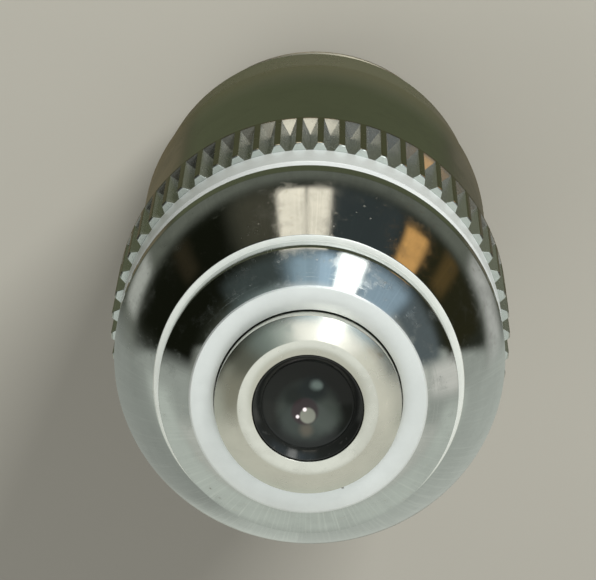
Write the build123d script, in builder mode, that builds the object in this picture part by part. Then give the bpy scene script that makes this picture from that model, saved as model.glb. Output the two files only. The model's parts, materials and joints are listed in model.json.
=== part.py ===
from build123d import *

import os
from math import copysign, pi, radians, sqrt, tan

# Microscope objective with a sprung nose, in millimetres.
# The optical axis is Z, the mounting shoulder is at Z = 0 and the nose points up.

# Fits shared by the pieces
slip_clearance = 0.05
running_clearance = 0.06
cement_gap = 0.02
edge_break = 0.1
overrun = 1.0

# Mount ring: standard objective thread, shoulder and flange
thread_diameter = 20.32
thread_length = 4.5
thread_chamfer = 0.5
thread_ring_wall = 2.56
light_bore_radius = thread_diameter / 2 - thread_ring_wall
flange_length = 5.7
flange_chamfer = 0.25

# Main tube, a little wider than the thread. It carries the outer rings.
tube_step = 0.04
tube_wall = 1.5
tube_radius = thread_diameter / 2 + tube_step
tube_bore_radius = tube_radius - tube_wall
spigot_step = 0.6
spigot_radius = tube_radius - spigot_step
spigot_length = 4.0
spigot_relief = 0.2
flange_wall = 0.7
flange_radius = tube_radius + flange_wall

# Rear baffle, pressed into the thread end
baffle_seat_width = 1.0
baffle_radius = light_bore_radius + baffle_seat_width
baffle_thickness = 0.9
baffle_recess = 0.3
baffle_aperture_step = 2.0
baffle_aperture_radius = light_bore_radius - baffle_aperture_step

# Smooth barrel sleeve
sleeve_wall = 1.25
sleeve_radius = tube_radius + sleeve_wall
sleeve_length = 17.55

# Knurled grip ring
grip_wall = 2.07
grip_radius = tube_radius + grip_wall
grip_length = 6.4
grip_tooth_count = 58
grip_crest_share = 0.25
groove_angle = 66.0
groove_ramp_angle = 30.0
grip_rear_rim = 0.25

# Plain satin band
band_wall = 1.6
band_radius = tube_radius + band_wall
band_length = 2.75

# Sliding lens tube, inside the spring
spring_space = 1.7
lens_tube_wall = 1.0
lens_tube_radius = tube_bore_radius - spring_space
lens_tube_bore_radius = lens_tube_radius - lens_tube_wall
lens_tube_end_margin = 0.2
guide_land_length = 4.0
guide_land_setback = 6.0

# Nose cell, which slides in the cap
stop_width = 1.53
collar_radius = lens_tube_radius
collar_length = 4.0
nose_radius = collar_radius - stop_width
nose_proud = 0.82
nose_cone_length = 0.72
nose_flat_share = 0.753
nose_flat_radius = nose_radius * nose_flat_share
nose_opening_share = 0.596
nose_opening_radius = nose_radius * nose_opening_share
nose_lip_length = 1.6
nose_wall = 0.87
nose_chamber_radius = nose_radius - nose_wall
nose_throat_step = 0.3
nose_throat_radius = nose_chamber_radius + nose_throat_step
nose_throat_length = 4.4
nose_spigot_length = 1.5
retract_travel = 2.0

# Nose cap
land_length = 2.15
land_rounding = 0.4
cone_length = 4.95
cone_bulge = 0.22
front_ring_width = 1.43
front_ring_radius = nose_radius + front_ring_width
inner_cone_length = 1.6
inner_cone_width = 1.93
neck_radius = front_ring_radius + inner_cone_width
neck_length = 1.4
shoulder_step = 0.35
shoulder_radius = neck_radius + shoulder_step
cap_socket_length = 2.8
cap_cavity_gap = 0.6
cap_cavity_radius = collar_radius + cap_cavity_gap
cap_guide_length = 4.5

# Front lens, its black mount and the rings behind them. The curve of a lens face is its
# radius of curvature as a share of the lens's radius, positive where the middle of the
# face stands nearer the nose than its edge.
mouth_setback = 0.05
mouth_bevel_depth = 0.55
mouth_bevel_width = 0.5
mouth_lip_length = 0.25
front_lens_seat_width = 0.3
front_lens_edge = 0.85
front_lens_curve_shares = (-2.2, -1.15)
front_lens_ring_length = 0.7
front_mount_flange_length = 1.3
front_mount_ring_length = 1.2
front_mount_ring_width = 1.1
front_mount_ring_bore_radius = nose_chamber_radius - front_mount_ring_width

# Spring and the rings that seat it
spring_length = 13.5
spring_wire_radius = 0.4
spring_mean_radius = tube_bore_radius - spring_space / 2
spring_half_turns = 9
spring_ground_share = 0.7
seat_ring_width = 1.35
seat_ring_bore_radius = tube_bore_radius - seat_ring_width
parfocal_ring_length = 2.0
lock_ring_length = 1.5
spanner_slot_width = 1.4
spanner_slot_depth = 0.7

# Guide pin and its slot
pin_radius = 0.6
pin_seat_depth = 0.5
pin_seat_radius = lens_tube_radius - pin_seat_depth
pin_end_gap = 0.2
slot_side_clearance = 0.05
slot_end_clearance = 0.3

# Lens cells, spacers and clamp ring. Each lens is sized where it is thinnest: a converging
# one at its edge and a diverging one in the middle.
cell_radius = lens_tube_bore_radius - slip_clearance
lens_seat_width = 0.35
spacer_wall = 0.95
spacer_bore_radius = cell_radius - spacer_wall

meniscus_cell_wall = 1.75
meniscus_radius = cell_radius - meniscus_cell_wall
meniscus_edge = 1.6
meniscus_curve_shares = (-2.6, -1.48)
meniscus_seat_height = 1.5
meniscus_cell_lip = 1.2
meniscus_spacer_length = 1.5

front_doublet_cell_wall = 1.15
front_doublet_radius = cell_radius - front_doublet_cell_wall
front_doublet_crown_edge = 0.9
front_doublet_flint_middle = 0.72
front_doublet_curve_shares = (1.88, -1.56, 5.0)
front_doublet_seat_height = 0.6
front_doublet_cell_lip = 1.28
doublet_spacer_length = 1.5

centring_play = 0.45
centring_cell_wall = 1.1
centring_cell_radius = cell_radius - centring_play
centring_doublet_radius = centring_cell_radius - centring_cell_wall
centring_doublet_crown_edge = 0.8
centring_doublet_flint_middle = 0.63
centring_doublet_curve_shares = (2.39, -1.82, 6.8)
centring_doublet_seat_height = 0.6
centring_cell_lip = 0.98
rear_spacer_length = 1.3

rear_doublet_cell_wall = 1.05
rear_doublet_radius = cell_radius - rear_doublet_cell_wall
rear_doublet_crown_edge = 0.5
rear_doublet_flint_middle = 0.44
rear_doublet_curve_shares = (3.27, -2.24, 12.2)
rear_doublet_seat_height = 0.6
rear_doublet_cell_lip = 0.68

clamp_ring_length = 1.5
clamp_ring_wall = 1.35
clamp_ring_bore_radius = cell_radius - clamp_ring_wall

# Centring screws
centring_screw_count = 3
centring_screw_radius = 0.6
centring_screw_setback = 0.1
centring_screw_slot_width = 0.25
centring_screw_slot_depth = 0.3


def sag(curve, reach):
    """Rise of a spherical face between the distance reach from the axis and the axis."""
    return copysign(abs(curve) - sqrt(curve**2 - reach**2), curve)


def flint_edge(radius, middle, inner_curve_share, rear_curve_share):
    """Edge thickness of a diverging lens whose middle thickness is given."""
    reach = radius - lens_seat_width
    return middle - sag(inner_curve_share * radius, reach) + sag(rear_curve_share * radius, reach)


def doublet_length(flint_edge_length, crown_edge):
    """Length of a cemented pair at its edge."""
    return flint_edge_length + cement_gap + crown_edge


# Lengths of the lens cells: seat, glass and lip
front_doublet_flint_edge = flint_edge(
    front_doublet_radius, front_doublet_flint_middle, *front_doublet_curve_shares[1:])
centring_doublet_flint_edge = flint_edge(
    centring_doublet_radius, centring_doublet_flint_middle, *centring_doublet_curve_shares[1:])
rear_doublet_flint_edge = flint_edge(
    rear_doublet_radius, rear_doublet_flint_middle, *rear_doublet_curve_shares[1:])
meniscus_cell_length = meniscus_seat_height + meniscus_edge + meniscus_cell_lip
front_doublet_cell_length = (
    front_doublet_seat_height
    + doublet_length(front_doublet_flint_edge, front_doublet_crown_edge)
    + front_doublet_cell_lip
)
centring_cell_length = (
    centring_doublet_seat_height
    + doublet_length(centring_doublet_flint_edge, centring_doublet_crown_edge)
    + centring_cell_lip
)
rear_doublet_cell_length = (
    rear_doublet_seat_height
    + doublet_length(rear_doublet_flint_edge, rear_doublet_crown_edge)
    + rear_doublet_cell_lip
)

# Heights of the outer pieces, worked out from the lengths above
sleeve_z = flange_length
grip_z = sleeve_z + sleeve_length
band_z = grip_z + grip_length
cap_z = band_z + band_length
socket_z = cap_z + cap_socket_length
cone_z = cap_z + land_length
step_z = cone_z + cone_length
neck_z = step_z + neck_length
front_z = neck_z + inner_cone_length
nose_edge_z = front_z + nose_proud
nose_z = nose_edge_z + nose_cone_length

# Heights inside, from the nose to the rear
stop_z = front_z - cap_guide_length
collar_z = stop_z - collar_length
stack_z = collar_z - nose_spigot_length
meniscus_cell_z = stack_z - meniscus_cell_length
meniscus_spacer_z = meniscus_cell_z - meniscus_spacer_length
front_doublet_cell_z = meniscus_spacer_z - front_doublet_cell_length
doublet_spacer_z = front_doublet_cell_z - doublet_spacer_length
centring_cell_z = doublet_spacer_z - centring_cell_length
rear_spacer_z = centring_cell_z - rear_spacer_length
rear_doublet_cell_z = rear_spacer_z - rear_doublet_cell_length
clamp_ring_z = rear_doublet_cell_z - clamp_ring_length
lens_tube_z = clamp_ring_z - lens_tube_end_margin
land_z = collar_z - guide_land_setback - guide_land_length
pin_z = land_z + guide_land_length / 2
spring_seat_z = land_z - spring_length
parfocal_ring_z = spring_seat_z - parfocal_ring_length
lock_ring_z = parfocal_ring_z - lock_ring_length

os.makedirs("parts", exist_ok=True)


def save(piece, name):
    """Label a finished piece and write its file."""
    piece.label = name
    export_step(piece, f"parts/{name}.step")


def plain_ring(outer_radius, bore_radius, bottom_z, length):
    """A plain ring about the optical axis."""
    with BuildPart() as piece:
        with BuildSketch(Plane.XY.offset(bottom_z)):
            Circle(outer_radius)
            Circle(bore_radius, mode=Mode.SUBTRACT)
        extrude(amount=length)
    return piece.part


def lens(radius, seat_width, front_z, rear_z, curve_shares):
    """A lens with a flat ground rim round each face, so that it seats on a square shoulder."""
    front_curve, rear_curve = (share * radius for share in curve_shares)
    reach = radius - seat_width
    front_rise = sag(front_curve, reach)
    rear_rise = sag(rear_curve, reach)
    with BuildPart() as piece:
        with BuildSketch(Plane.XZ):
            with BuildLine():
                ThreePointArc(
                    (0, front_z + front_rise),
                    (reach / 2, front_z + front_rise - sag(front_curve, reach / 2)),
                    (reach, front_z),
                )
                Polyline((reach, front_z), (radius, front_z), (radius, rear_z), (reach, rear_z))
                ThreePointArc(
                    (reach, rear_z),
                    (reach / 2, rear_z + rear_rise - sag(rear_curve, reach / 2)),
                    (0, rear_z + rear_rise),
                )
                Line((0, rear_z + rear_rise), (0, front_z + front_rise))
            make_face()
        revolve(axis=Axis.Z)
    return piece.part


def lens_cell(cell_z, length, outer_radius, lens_radius, seat_height):
    """A turned cell, bored from the nose side down to the shoulder that seats its lens."""
    with BuildPart() as piece:
        with BuildSketch(Plane.XY.offset(cell_z)):
            Circle(outer_radius)
            Circle(lens_radius - lens_seat_width, mode=Mode.SUBTRACT)
        extrude(amount=length)
        with BuildSketch(Plane.XY.offset(cell_z + seat_height)):
            Circle(lens_radius + cement_gap)
        extrude(amount=length - seat_height, mode=Mode.SUBTRACT)
    return piece.part


def save_doublet(name, radius, seat_z, crown_edge, flint_edge_length, curve_shares):
    """A cemented pair, flint to the rear and crown to the nose, as two pieces."""
    flint_front_z = seat_z + flint_edge_length
    crown_rear_z = flint_front_z + cement_gap
    flint = lens(radius, lens_seat_width, flint_front_z, seat_z, curve_shares[1:])
    crown = lens(
        radius, lens_seat_width, crown_rear_z + crown_edge, crown_rear_z, curve_shares[:2])
    save(crown, f"{name}_crown")
    save(flint, f"{name}_flint")


# Mount ring
with BuildPart() as mount_ring:
    with BuildSketch(Plane.XY.offset(-thread_length)):
        Circle(thread_diameter / 2)
    extrude(amount=thread_length)
    chamfer(mount_ring.edges().group_by(Axis.Z)[0], thread_chamfer)
    with BuildSketch(Plane.XY):
        Circle(flange_radius)
    extrude(amount=flange_length)
    flange_edges = mount_ring.edges().filter_by(GeomType.CIRCLE).group_by(SortBy.RADIUS)[-1]
    chamfer(flange_edges.sort_by(Axis.Z)[0], flange_chamfer)
    chamfer(flange_edges.sort_by(Axis.Z)[-1], edge_break)
    with BuildSketch(Plane.XY.offset(-thread_length)):
        Circle(light_bore_radius)
    extrude(amount=thread_length + flange_length, mode=Mode.SUBTRACT)
    with BuildSketch(Plane.XY.offset(flange_length - spigot_length)):
        Circle(spigot_radius + slip_clearance)
    extrude(amount=spigot_length, mode=Mode.SUBTRACT)
    with BuildSketch(Plane.XY.offset(-thread_length)):
        Circle(baffle_radius)
    extrude(amount=baffle_recess + baffle_thickness, mode=Mode.SUBTRACT)
save(mount_ring.part, "mount_ring")

# Rear baffle: a disc with a bevelled aperture
with BuildPart() as rear_baffle:
    with BuildSketch(Plane.XY.offset(baffle_recess - thread_length)):
        Circle(baffle_radius - slip_clearance)
        Circle(baffle_aperture_radius, mode=Mode.SUBTRACT)
    extrude(amount=baffle_thickness)
    aperture_edges = rear_baffle.edges().filter_by(GeomType.CIRCLE).group_by(SortBy.RADIUS)[0]
    chamfer(aperture_edges.sort_by(Axis.Z)[0], baffle_thickness / 2)
save(rear_baffle.part, "rear_baffle")

# Main tube, with its spigot in the mount ring and the slot for the guide pin
slot_low_z = pin_z - retract_travel - pin_radius - slot_end_clearance
slot_high_z = pin_z + pin_radius + slot_end_clearance
with BuildPart() as main_tube:
    with BuildSketch(Plane.XY.offset(flange_length - spigot_length + spigot_relief)):
        Circle(spigot_radius)
    extrude(amount=spigot_length - spigot_relief)
    with BuildSketch(Plane.XY.offset(flange_length)):
        Circle(tube_radius)
    extrude(amount=socket_z - flange_length)
    with BuildSketch(Plane.XY):
        Circle(tube_bore_radius)
    extrude(amount=socket_z, mode=Mode.SUBTRACT)
    with BuildSketch(Plane.YZ):
        with Locations((0, (slot_low_z + slot_high_z) / 2)):
            SlotOverall(
                slot_high_z - slot_low_z, 2 * (pin_radius + slot_side_clearance), rotation=90)
    extrude(amount=tube_radius + overrun, mode=Mode.SUBTRACT)
save(main_tube.part, "main_tube")

# Smooth barrel sleeve, slipped over the main tube
with BuildPart() as barrel_sleeve:
    with BuildSketch(Plane.XY.offset(sleeve_z)):
        Circle(sleeve_radius)
        Circle(tube_radius + slip_clearance, mode=Mode.SUBTRACT)
    extrude(amount=sleeve_length)
    chamfer(
        barrel_sleeve.edges().filter_by(GeomType.CIRCLE).group_by(SortBy.RADIUS)[-1], edge_break)
save(barrel_sleeve.part, "barrel_sleeve")

# Knurled grip ring. V grooves are open at the front face, and at the back the floor of each
# one climbs a straight ramp to the crest, so a narrow rim is left whole behind them.
groove_pitch = 2 * pi * grip_radius / grip_tooth_count
groove_width = groove_pitch * (1 - grip_crest_share)
groove_slope = tan(radians(groove_angle / 2))
groove_depth = groove_width / 2 / groove_slope
groove_floor_radius = grip_radius - groove_depth
groove_cutter_radius = grip_radius + overrun
groove_cutter_half_width = (groove_cutter_radius - groove_floor_radius) * groove_slope
ramp_slope = tan(radians(groove_ramp_angle))
ramp_top_z = grip_z + grip_rear_rim
ramp_foot_z = ramp_top_z + groove_depth / ramp_slope
ramp_start_z = ramp_top_z - overrun / ramp_slope
ramp_bottom_z = ramp_start_z - overrun / ramp_slope
ramp_summit_z = ramp_foot_z + overrun / ramp_slope

with BuildPart() as groove_cutter:
    with BuildSketch(Plane.XY.offset(ramp_start_z)):
        with BuildLine():
            Polyline(
                (groove_floor_radius, 0),
                (groove_cutter_radius, groove_cutter_half_width),
                (groove_cutter_radius, -groove_cutter_half_width),
                close=True,
            )
        make_face()
    extrude(amount=band_z + overrun - ramp_start_z)
    with BuildSketch(Plane.XZ):
        with BuildLine():
            Polyline(
                (0, ramp_bottom_z),
                (groove_cutter_radius + overrun, ramp_bottom_z),
                (groove_floor_radius - overrun, ramp_summit_z),
                (0, ramp_summit_z),
                close=True,
            )
        make_face()
    revolve(axis=Axis.Z, mode=Mode.SUBTRACT)

with BuildPart() as knurled_ring:
    with BuildSketch(Plane.XY.offset(grip_z)):
        Circle(grip_radius)
    extrude(amount=grip_length)
    chamfer(knurled_ring.edges().filter_by(GeomType.CIRCLE), edge_break)
    with BuildSketch(Plane.XY.offset(grip_z)):
        Circle(tube_radius + slip_clearance)
    extrude(amount=grip_length, mode=Mode.SUBTRACT)
    with PolarLocations(0, grip_tooth_count):
        add(groove_cutter.part, mode=Mode.SUBTRACT)
save(knurled_ring.part, "knurled_ring")

# Plain satin band
with BuildPart() as band_ring:
    with BuildSketch(Plane.XY.offset(band_z)):
        Circle(band_radius)
        Circle(tube_radius + slip_clearance, mode=Mode.SUBTRACT)
    extrude(amount=band_length)
    band_edges = band_ring.edges().filter_by(GeomType.CIRCLE).group_by(SortBy.RADIUS)[-1]
    chamfer(band_edges.sort_by(Axis.Z)[-1], edge_break)
save(band_ring.part, "band_ring")

# Nose cap: rear land, domed cone, shoulder, short neck, inner cone and flat front ring,
# with the socket for the main tube, a cavity and the long bore that guides the nose cell
cap_bore_radius = nose_radius + running_clearance
cone_start = Vector(band_radius, cone_z)
cone_end = Vector(shoulder_radius, step_z)
cone_run = cone_end - cone_start
cone_crest = (cone_start + cone_end) / 2 + Vector(cone_run.Y, -cone_run.X).normalized() * cone_bulge
with BuildPart() as nose_cap:
    with BuildSketch(Plane.XZ) as cap_section:
        with BuildLine():
            ThreePointArc(cone_start, cone_crest, cone_end)
            Polyline(
                cone_end,
                (neck_radius, step_z),
                (neck_radius, neck_z),
                (front_ring_radius, front_z),
                (cap_bore_radius, front_z),
                (cap_bore_radius, stop_z),
                (cap_cavity_radius, stop_z),
                (cap_cavity_radius, socket_z),
                (tube_radius + slip_clearance, socket_z),
                (tube_radius + slip_clearance, cap_z),
                (band_radius - edge_break, cap_z),
                (band_radius, cap_z + edge_break),
                cone_start,
            )
        make_face()
        land_corner = cap_section.vertices().sort_by_distance((band_radius, cone_z))[0]
        fillet(land_corner, land_rounding)
    revolve(axis=Axis.Z)
save(nose_cap.part, "nose_cap")

# Nose cell: coned nose, guide, stop collar and the spigot that clamps the lens stack
lip_z = nose_z - nose_lip_length
throat_z = stack_z + nose_throat_length
with BuildPart() as nose_cell:
    with BuildSketch(Plane.XZ):
        with BuildLine():
            Polyline(
                (nose_opening_radius, nose_z),
                (nose_flat_radius, nose_z),
                (nose_radius, nose_edge_z),
                (nose_radius, stop_z),
                (collar_radius, stop_z),
                (collar_radius, collar_z),
                (cell_radius, collar_z),
                (cell_radius, stack_z),
                (nose_throat_radius, stack_z),
                (nose_throat_radius, throat_z),
                (nose_chamber_radius, throat_z),
                (nose_chamber_radius, lip_z),
                (nose_opening_radius, lip_z),
                close=True,
            )
        make_face()
    revolve(axis=Axis.Z)
save(nose_cell.part, "nose_cell")

# Mount of the front lens: a bevelled mouth, a thin lip and a flange behind the nose's lip
mouth_radius = nose_opening_radius - slip_clearance
mouth_z = nose_z - mouth_setback
aperture_radius = mouth_radius - mouth_setback - mouth_bevel_width
aperture_z = mouth_z - mouth_bevel_depth
glass_z = aperture_z - mouth_lip_length
front_lens_radius = aperture_radius + front_lens_seat_width
front_lens_bore_radius = front_lens_radius + cement_gap
front_mount_z = lip_z - front_mount_flange_length
with BuildPart() as front_lens_mount:
    with BuildSketch(Plane.XZ):
        with BuildLine():
            Polyline(
                (mouth_radius - mouth_setback, mouth_z),
                (mouth_radius, mouth_z),
                (mouth_radius, lip_z),
                (nose_chamber_radius - slip_clearance, lip_z),
                (nose_chamber_radius - slip_clearance, front_mount_z),
                (front_lens_bore_radius, front_mount_z),
                (front_lens_bore_radius, glass_z),
                (aperture_radius, glass_z),
                (aperture_radius, aperture_z),
                close=True,
            )
        make_face()
    revolve(axis=Axis.Z)
save(front_lens_mount.part, "front_lens_mount")

# Front lens, the ring that holds it and the ring that holds its mount
front_lens_rear_z = glass_z - front_lens_edge
save(
    lens(
        front_lens_radius, front_lens_seat_width, glass_z, front_lens_rear_z,
        front_lens_curve_shares),
    "front_lens",
)
save(
    plain_ring(
        front_lens_radius, aperture_radius, front_lens_rear_z - front_lens_ring_length,
        front_lens_ring_length),
    "front_lens_ring",
)
save(
    plain_ring(
        nose_chamber_radius - slip_clearance, front_mount_ring_bore_radius,
        front_mount_z - front_mount_ring_length, front_mount_ring_length),
    "front_mount_ring",
)

# Centring screws: one slotted screw on the X axis, repeated round the optical axis
screw_z = centring_cell_z + centring_cell_length / 2
screw_end_radius = lens_tube_radius - centring_screw_setback
with BuildPart() as centring_screw:
    with BuildSketch(Plane.YZ.offset(centring_cell_radius)):
        with Locations((0, screw_z)):
            Circle(centring_screw_radius)
    extrude(amount=screw_end_radius - centring_cell_radius)
    with BuildSketch(Plane.YZ.offset(screw_end_radius)):
        with Locations((0, screw_z)):
            Rectangle(centring_screw_slot_width, 2 * centring_screw_radius)
    extrude(amount=-centring_screw_slot_depth, mode=Mode.SUBTRACT)

with BuildPart() as centring_screws:
    with PolarLocations(0, centring_screw_count, start_angle=180):
        add(centring_screw.part)
save(centring_screws.part, "centring_screws")

# Sliding lens tube, with its guide land, the guide pin's seat and the screw holes
with BuildPart() as screw_drill:
    with BuildSketch(Plane.YZ.offset(centring_cell_radius)):
        with Locations((0, screw_z)):
            Circle(centring_screw_radius + cement_gap)
    extrude(amount=lens_tube_radius + overrun - centring_cell_radius)

with BuildPart() as lens_tube:
    with BuildSketch(Plane.XY.offset(lens_tube_z)):
        Circle(lens_tube_radius)
    extrude(amount=collar_z - lens_tube_z)
    with BuildSketch(Plane.XY.offset(land_z)):
        Circle(tube_bore_radius - running_clearance)
    extrude(amount=guide_land_length)
    chamfer(lens_tube.edges().filter_by(GeomType.CIRCLE).group_by(SortBy.RADIUS)[-1], edge_break)
    with BuildSketch(Plane.XY.offset(lens_tube_z)):
        Circle(lens_tube_bore_radius)
    extrude(amount=collar_z - lens_tube_z, mode=Mode.SUBTRACT)
    with BuildSketch(Plane.YZ.offset(pin_seat_radius)):
        with Locations((0, pin_z)):
            Circle(pin_radius + cement_gap)
    extrude(amount=tube_bore_radius, mode=Mode.SUBTRACT)
    with PolarLocations(0, centring_screw_count, start_angle=180):
        add(screw_drill.part, mode=Mode.SUBTRACT)
save(lens_tube.part, "lens_tube")

# Guide pin, seated in the lens tube and running in the main tube's slot
with BuildPart() as guide_pin:
    with BuildSketch(Plane.YZ.offset(pin_seat_radius)):
        with Locations((0, pin_z)):
            Circle(pin_radius)
    extrude(amount=tube_radius - pin_end_gap - pin_seat_radius)
    chamfer(guide_pin.edges().filter_by(GeomType.CIRCLE).sort_by(Axis.X)[-1], edge_break)
save(guide_pin.part, "guide_pin")

# Parfocal ring, which seats the spring, and its lock ring, with slots for a spanner
with BuildPart() as parfocal_ring:
    with BuildSketch(Plane.XY.offset(parfocal_ring_z)):
        Circle(tube_bore_radius - slip_clearance)
        Circle(seat_ring_bore_radius, mode=Mode.SUBTRACT)
    extrude(amount=parfocal_ring_length)
    with BuildSketch(Plane.XY.offset(parfocal_ring_z)):
        Rectangle(2 * tube_bore_radius, spanner_slot_width)
    extrude(amount=spanner_slot_depth, mode=Mode.SUBTRACT)
save(parfocal_ring.part, "parfocal_ring")

with BuildPart() as lock_ring:
    with BuildSketch(Plane.XY.offset(lock_ring_z)):
        Circle(tube_bore_radius - slip_clearance)
        Circle(seat_ring_bore_radius, mode=Mode.SUBTRACT)
    extrude(amount=lock_ring_length)
    with BuildSketch(Plane.XY.offset(lock_ring_z)):
        Rectangle(spanner_slot_width, 2 * tube_bore_radius)
    extrude(amount=spanner_slot_depth, mode=Mode.SUBTRACT)
save(lock_ring.part, "lock_ring")

# Coil spring: open half turns, each a slanted half ring, between two closed end turns that
# are ground flat where they seat
spring_low_z = spring_seat_z + spring_wire_radius
spring_rise = (spring_length - 2 * spring_wire_radius) / spring_half_turns
ground_rise = spring_wire_radius * spring_ground_share
with BuildPart() as coil_spring:
    for half_turn in range(spring_half_turns):
        side = -1 if half_turn % 2 else 1
        start_z = spring_low_z + half_turn * spring_rise
        with BuildSketch(Plane.XZ):
            with Locations((side * spring_mean_radius, start_z)):
                Circle(spring_wire_radius)
        slant_axis = Axis(
            (0, 0, start_z + spring_rise / 2), (side * spring_rise / 2, 0, spring_mean_radius))
        revolve(axis=slant_axis, revolution_arc=180)
    for seat_z, inward in ((spring_seat_z, 1), (land_z, -1)):
        with BuildSketch(Plane.XZ):
            with Locations((spring_mean_radius, seat_z + inward * ground_rise)):
                Circle(spring_wire_radius)
            with Locations((spring_mean_radius, seat_z - inward * spring_wire_radius)):
                Rectangle(
                    2 * spring_wire_radius, 2 * spring_wire_radius, mode=Mode.SUBTRACT)
        revolve(axis=Axis.Z)
save(coil_spring.part, "coil_spring")

# Meniscus in its cell
meniscus_seat_z = meniscus_cell_z + meniscus_seat_height
save(
    lens_cell(
        meniscus_cell_z, meniscus_cell_length, cell_radius, meniscus_radius,
        meniscus_seat_height),
    "meniscus_cell",
)
save(
    lens(
        meniscus_radius, lens_seat_width, meniscus_seat_z + meniscus_edge, meniscus_seat_z,
        meniscus_curve_shares),
    "meniscus_lens",
)
save(
    plain_ring(cell_radius, spacer_bore_radius, meniscus_spacer_z, meniscus_spacer_length),
    "meniscus_spacer",
)

# Front doublet in its cell
save(
    lens_cell(
        front_doublet_cell_z, front_doublet_cell_length, cell_radius, front_doublet_radius,
        front_doublet_seat_height),
    "front_doublet_cell",
)
save_doublet(
    "front_doublet",
    front_doublet_radius,
    front_doublet_cell_z + front_doublet_seat_height,
    front_doublet_crown_edge,
    front_doublet_flint_edge,
    front_doublet_curve_shares,
)
save(
    plain_ring(cell_radius, spacer_bore_radius, doublet_spacer_z, doublet_spacer_length),
    "doublet_spacer",
)

# Centring doublet in the narrower cell that the centring screws move
save(
    lens_cell(
        centring_cell_z, centring_cell_length, centring_cell_radius, centring_doublet_radius,
        centring_doublet_seat_height),
    "centring_cell",
)
save_doublet(
    "centring_doublet",
    centring_doublet_radius,
    centring_cell_z + centring_doublet_seat_height,
    centring_doublet_crown_edge,
    centring_doublet_flint_edge,
    centring_doublet_curve_shares,
)
save(
    plain_ring(cell_radius, spacer_bore_radius, rear_spacer_z, rear_spacer_length),
    "rear_spacer",
)

# Rear doublet in its cell
save(
    lens_cell(
        rear_doublet_cell_z, rear_doublet_cell_length, cell_radius, rear_doublet_radius,
        rear_doublet_seat_height),
    "rear_doublet_cell",
)
save_doublet(
    "rear_doublet",
    rear_doublet_radius,
    rear_doublet_cell_z + rear_doublet_seat_height,
    rear_doublet_crown_edge,
    rear_doublet_flint_edge,
    rear_doublet_curve_shares,
)

# Clamp ring, which holds the stack from the rear, with slots for a spanner
with BuildPart() as clamp_ring:
    with BuildSketch(Plane.XY.offset(clamp_ring_z)):
        Circle(cell_radius)
        Circle(clamp_ring_bore_radius, mode=Mode.SUBTRACT)
    extrude(amount=clamp_ring_length)
    with BuildSketch(Plane.XY.offset(clamp_ring_z)):
        Rectangle(2 * cell_radius, spanner_slot_width)
    extrude(amount=spanner_slot_depth, mode=Mode.SUBTRACT)
save(clamp_ring.part, "clamp_ring")
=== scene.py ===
"""Microscope objective with a sprung nose, dressed over its solid model.

Sizes are in millimetres where nothing else is said: radii from the optical axis, and heights along
it from the mounting shoulder. Meshes and the nodes of materials work in metres.
"""

import json
import logging
import math
from dataclasses import dataclass, field
from enum import Enum
from typing import ClassVar

import bmesh
import bpy
from mathutils import Matrix, Vector


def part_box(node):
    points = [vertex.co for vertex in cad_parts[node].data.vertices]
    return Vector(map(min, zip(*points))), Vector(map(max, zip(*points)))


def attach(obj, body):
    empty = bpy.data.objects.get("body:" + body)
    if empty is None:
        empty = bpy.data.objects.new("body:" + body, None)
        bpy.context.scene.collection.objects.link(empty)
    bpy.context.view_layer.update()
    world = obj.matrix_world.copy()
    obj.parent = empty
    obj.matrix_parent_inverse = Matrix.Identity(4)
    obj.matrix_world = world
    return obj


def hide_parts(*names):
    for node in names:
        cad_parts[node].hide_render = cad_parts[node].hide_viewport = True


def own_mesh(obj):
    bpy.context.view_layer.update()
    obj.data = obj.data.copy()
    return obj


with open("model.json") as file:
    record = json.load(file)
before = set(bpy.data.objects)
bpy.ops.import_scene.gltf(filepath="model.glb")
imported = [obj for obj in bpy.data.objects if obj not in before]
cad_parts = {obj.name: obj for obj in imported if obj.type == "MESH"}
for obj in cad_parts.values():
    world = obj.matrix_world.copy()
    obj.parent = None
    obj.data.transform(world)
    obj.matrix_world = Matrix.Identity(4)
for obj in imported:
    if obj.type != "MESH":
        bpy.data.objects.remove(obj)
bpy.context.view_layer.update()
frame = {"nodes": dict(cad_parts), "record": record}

MM = 0.001  # One millimetre, in metres.
TURNS = 288  # Flats round a turned ring.
LENS_TURNS = 192  # Flats round the front lens.
CREASE = math.radians(16)  # Angle past which an edge counts as sharp.
SAME_POINT = 1e-6  # Distance at which two points of a copied solid are one, in metres.
RING_SEAM = 1e-7  # The same where a turned ring closes.
THREAD_SEAM = 2e-6  # The same where two turns of the thread meet.
LOG = logging.getLogger("objective")

Socket = bpy.types.NodeSocket
Owner = bpy.types.Material | bpy.types.World
Triple = tuple[float, float, float]
Place = Triple
Colour = Triple
Range = tuple[float, float]

ORIGIN: Triple = (0.0, 0.0, 0.0)
ALONG_AXIS: Triple = (0.0, 0.0, 1.0)
ACROSS_AXIS: Triple = (1.0, 1.0, 0.0)


class Slot(Enum):
    """Material slots of the record."""

    POLISHED_CHROME = "polished_chrome"
    SATIN_CHROME = "satin_chrome"
    WARM_NICKEL = "warm_nickel"
    BRASS = "brass"
    BLACK_ANODISED = "black_anodised"
    STEEL = "steel"
    OPTICAL_GLASS = "optical_glass"


class Body(Enum):
    """Bodies that the pieces ride on."""

    BARREL = "barrel"
    OPTICS = "optics"


class Grain(Enum):
    """Which way the fine marks of a finish run."""

    TURNED = "turned"
    DRAWN = "drawn"


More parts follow.
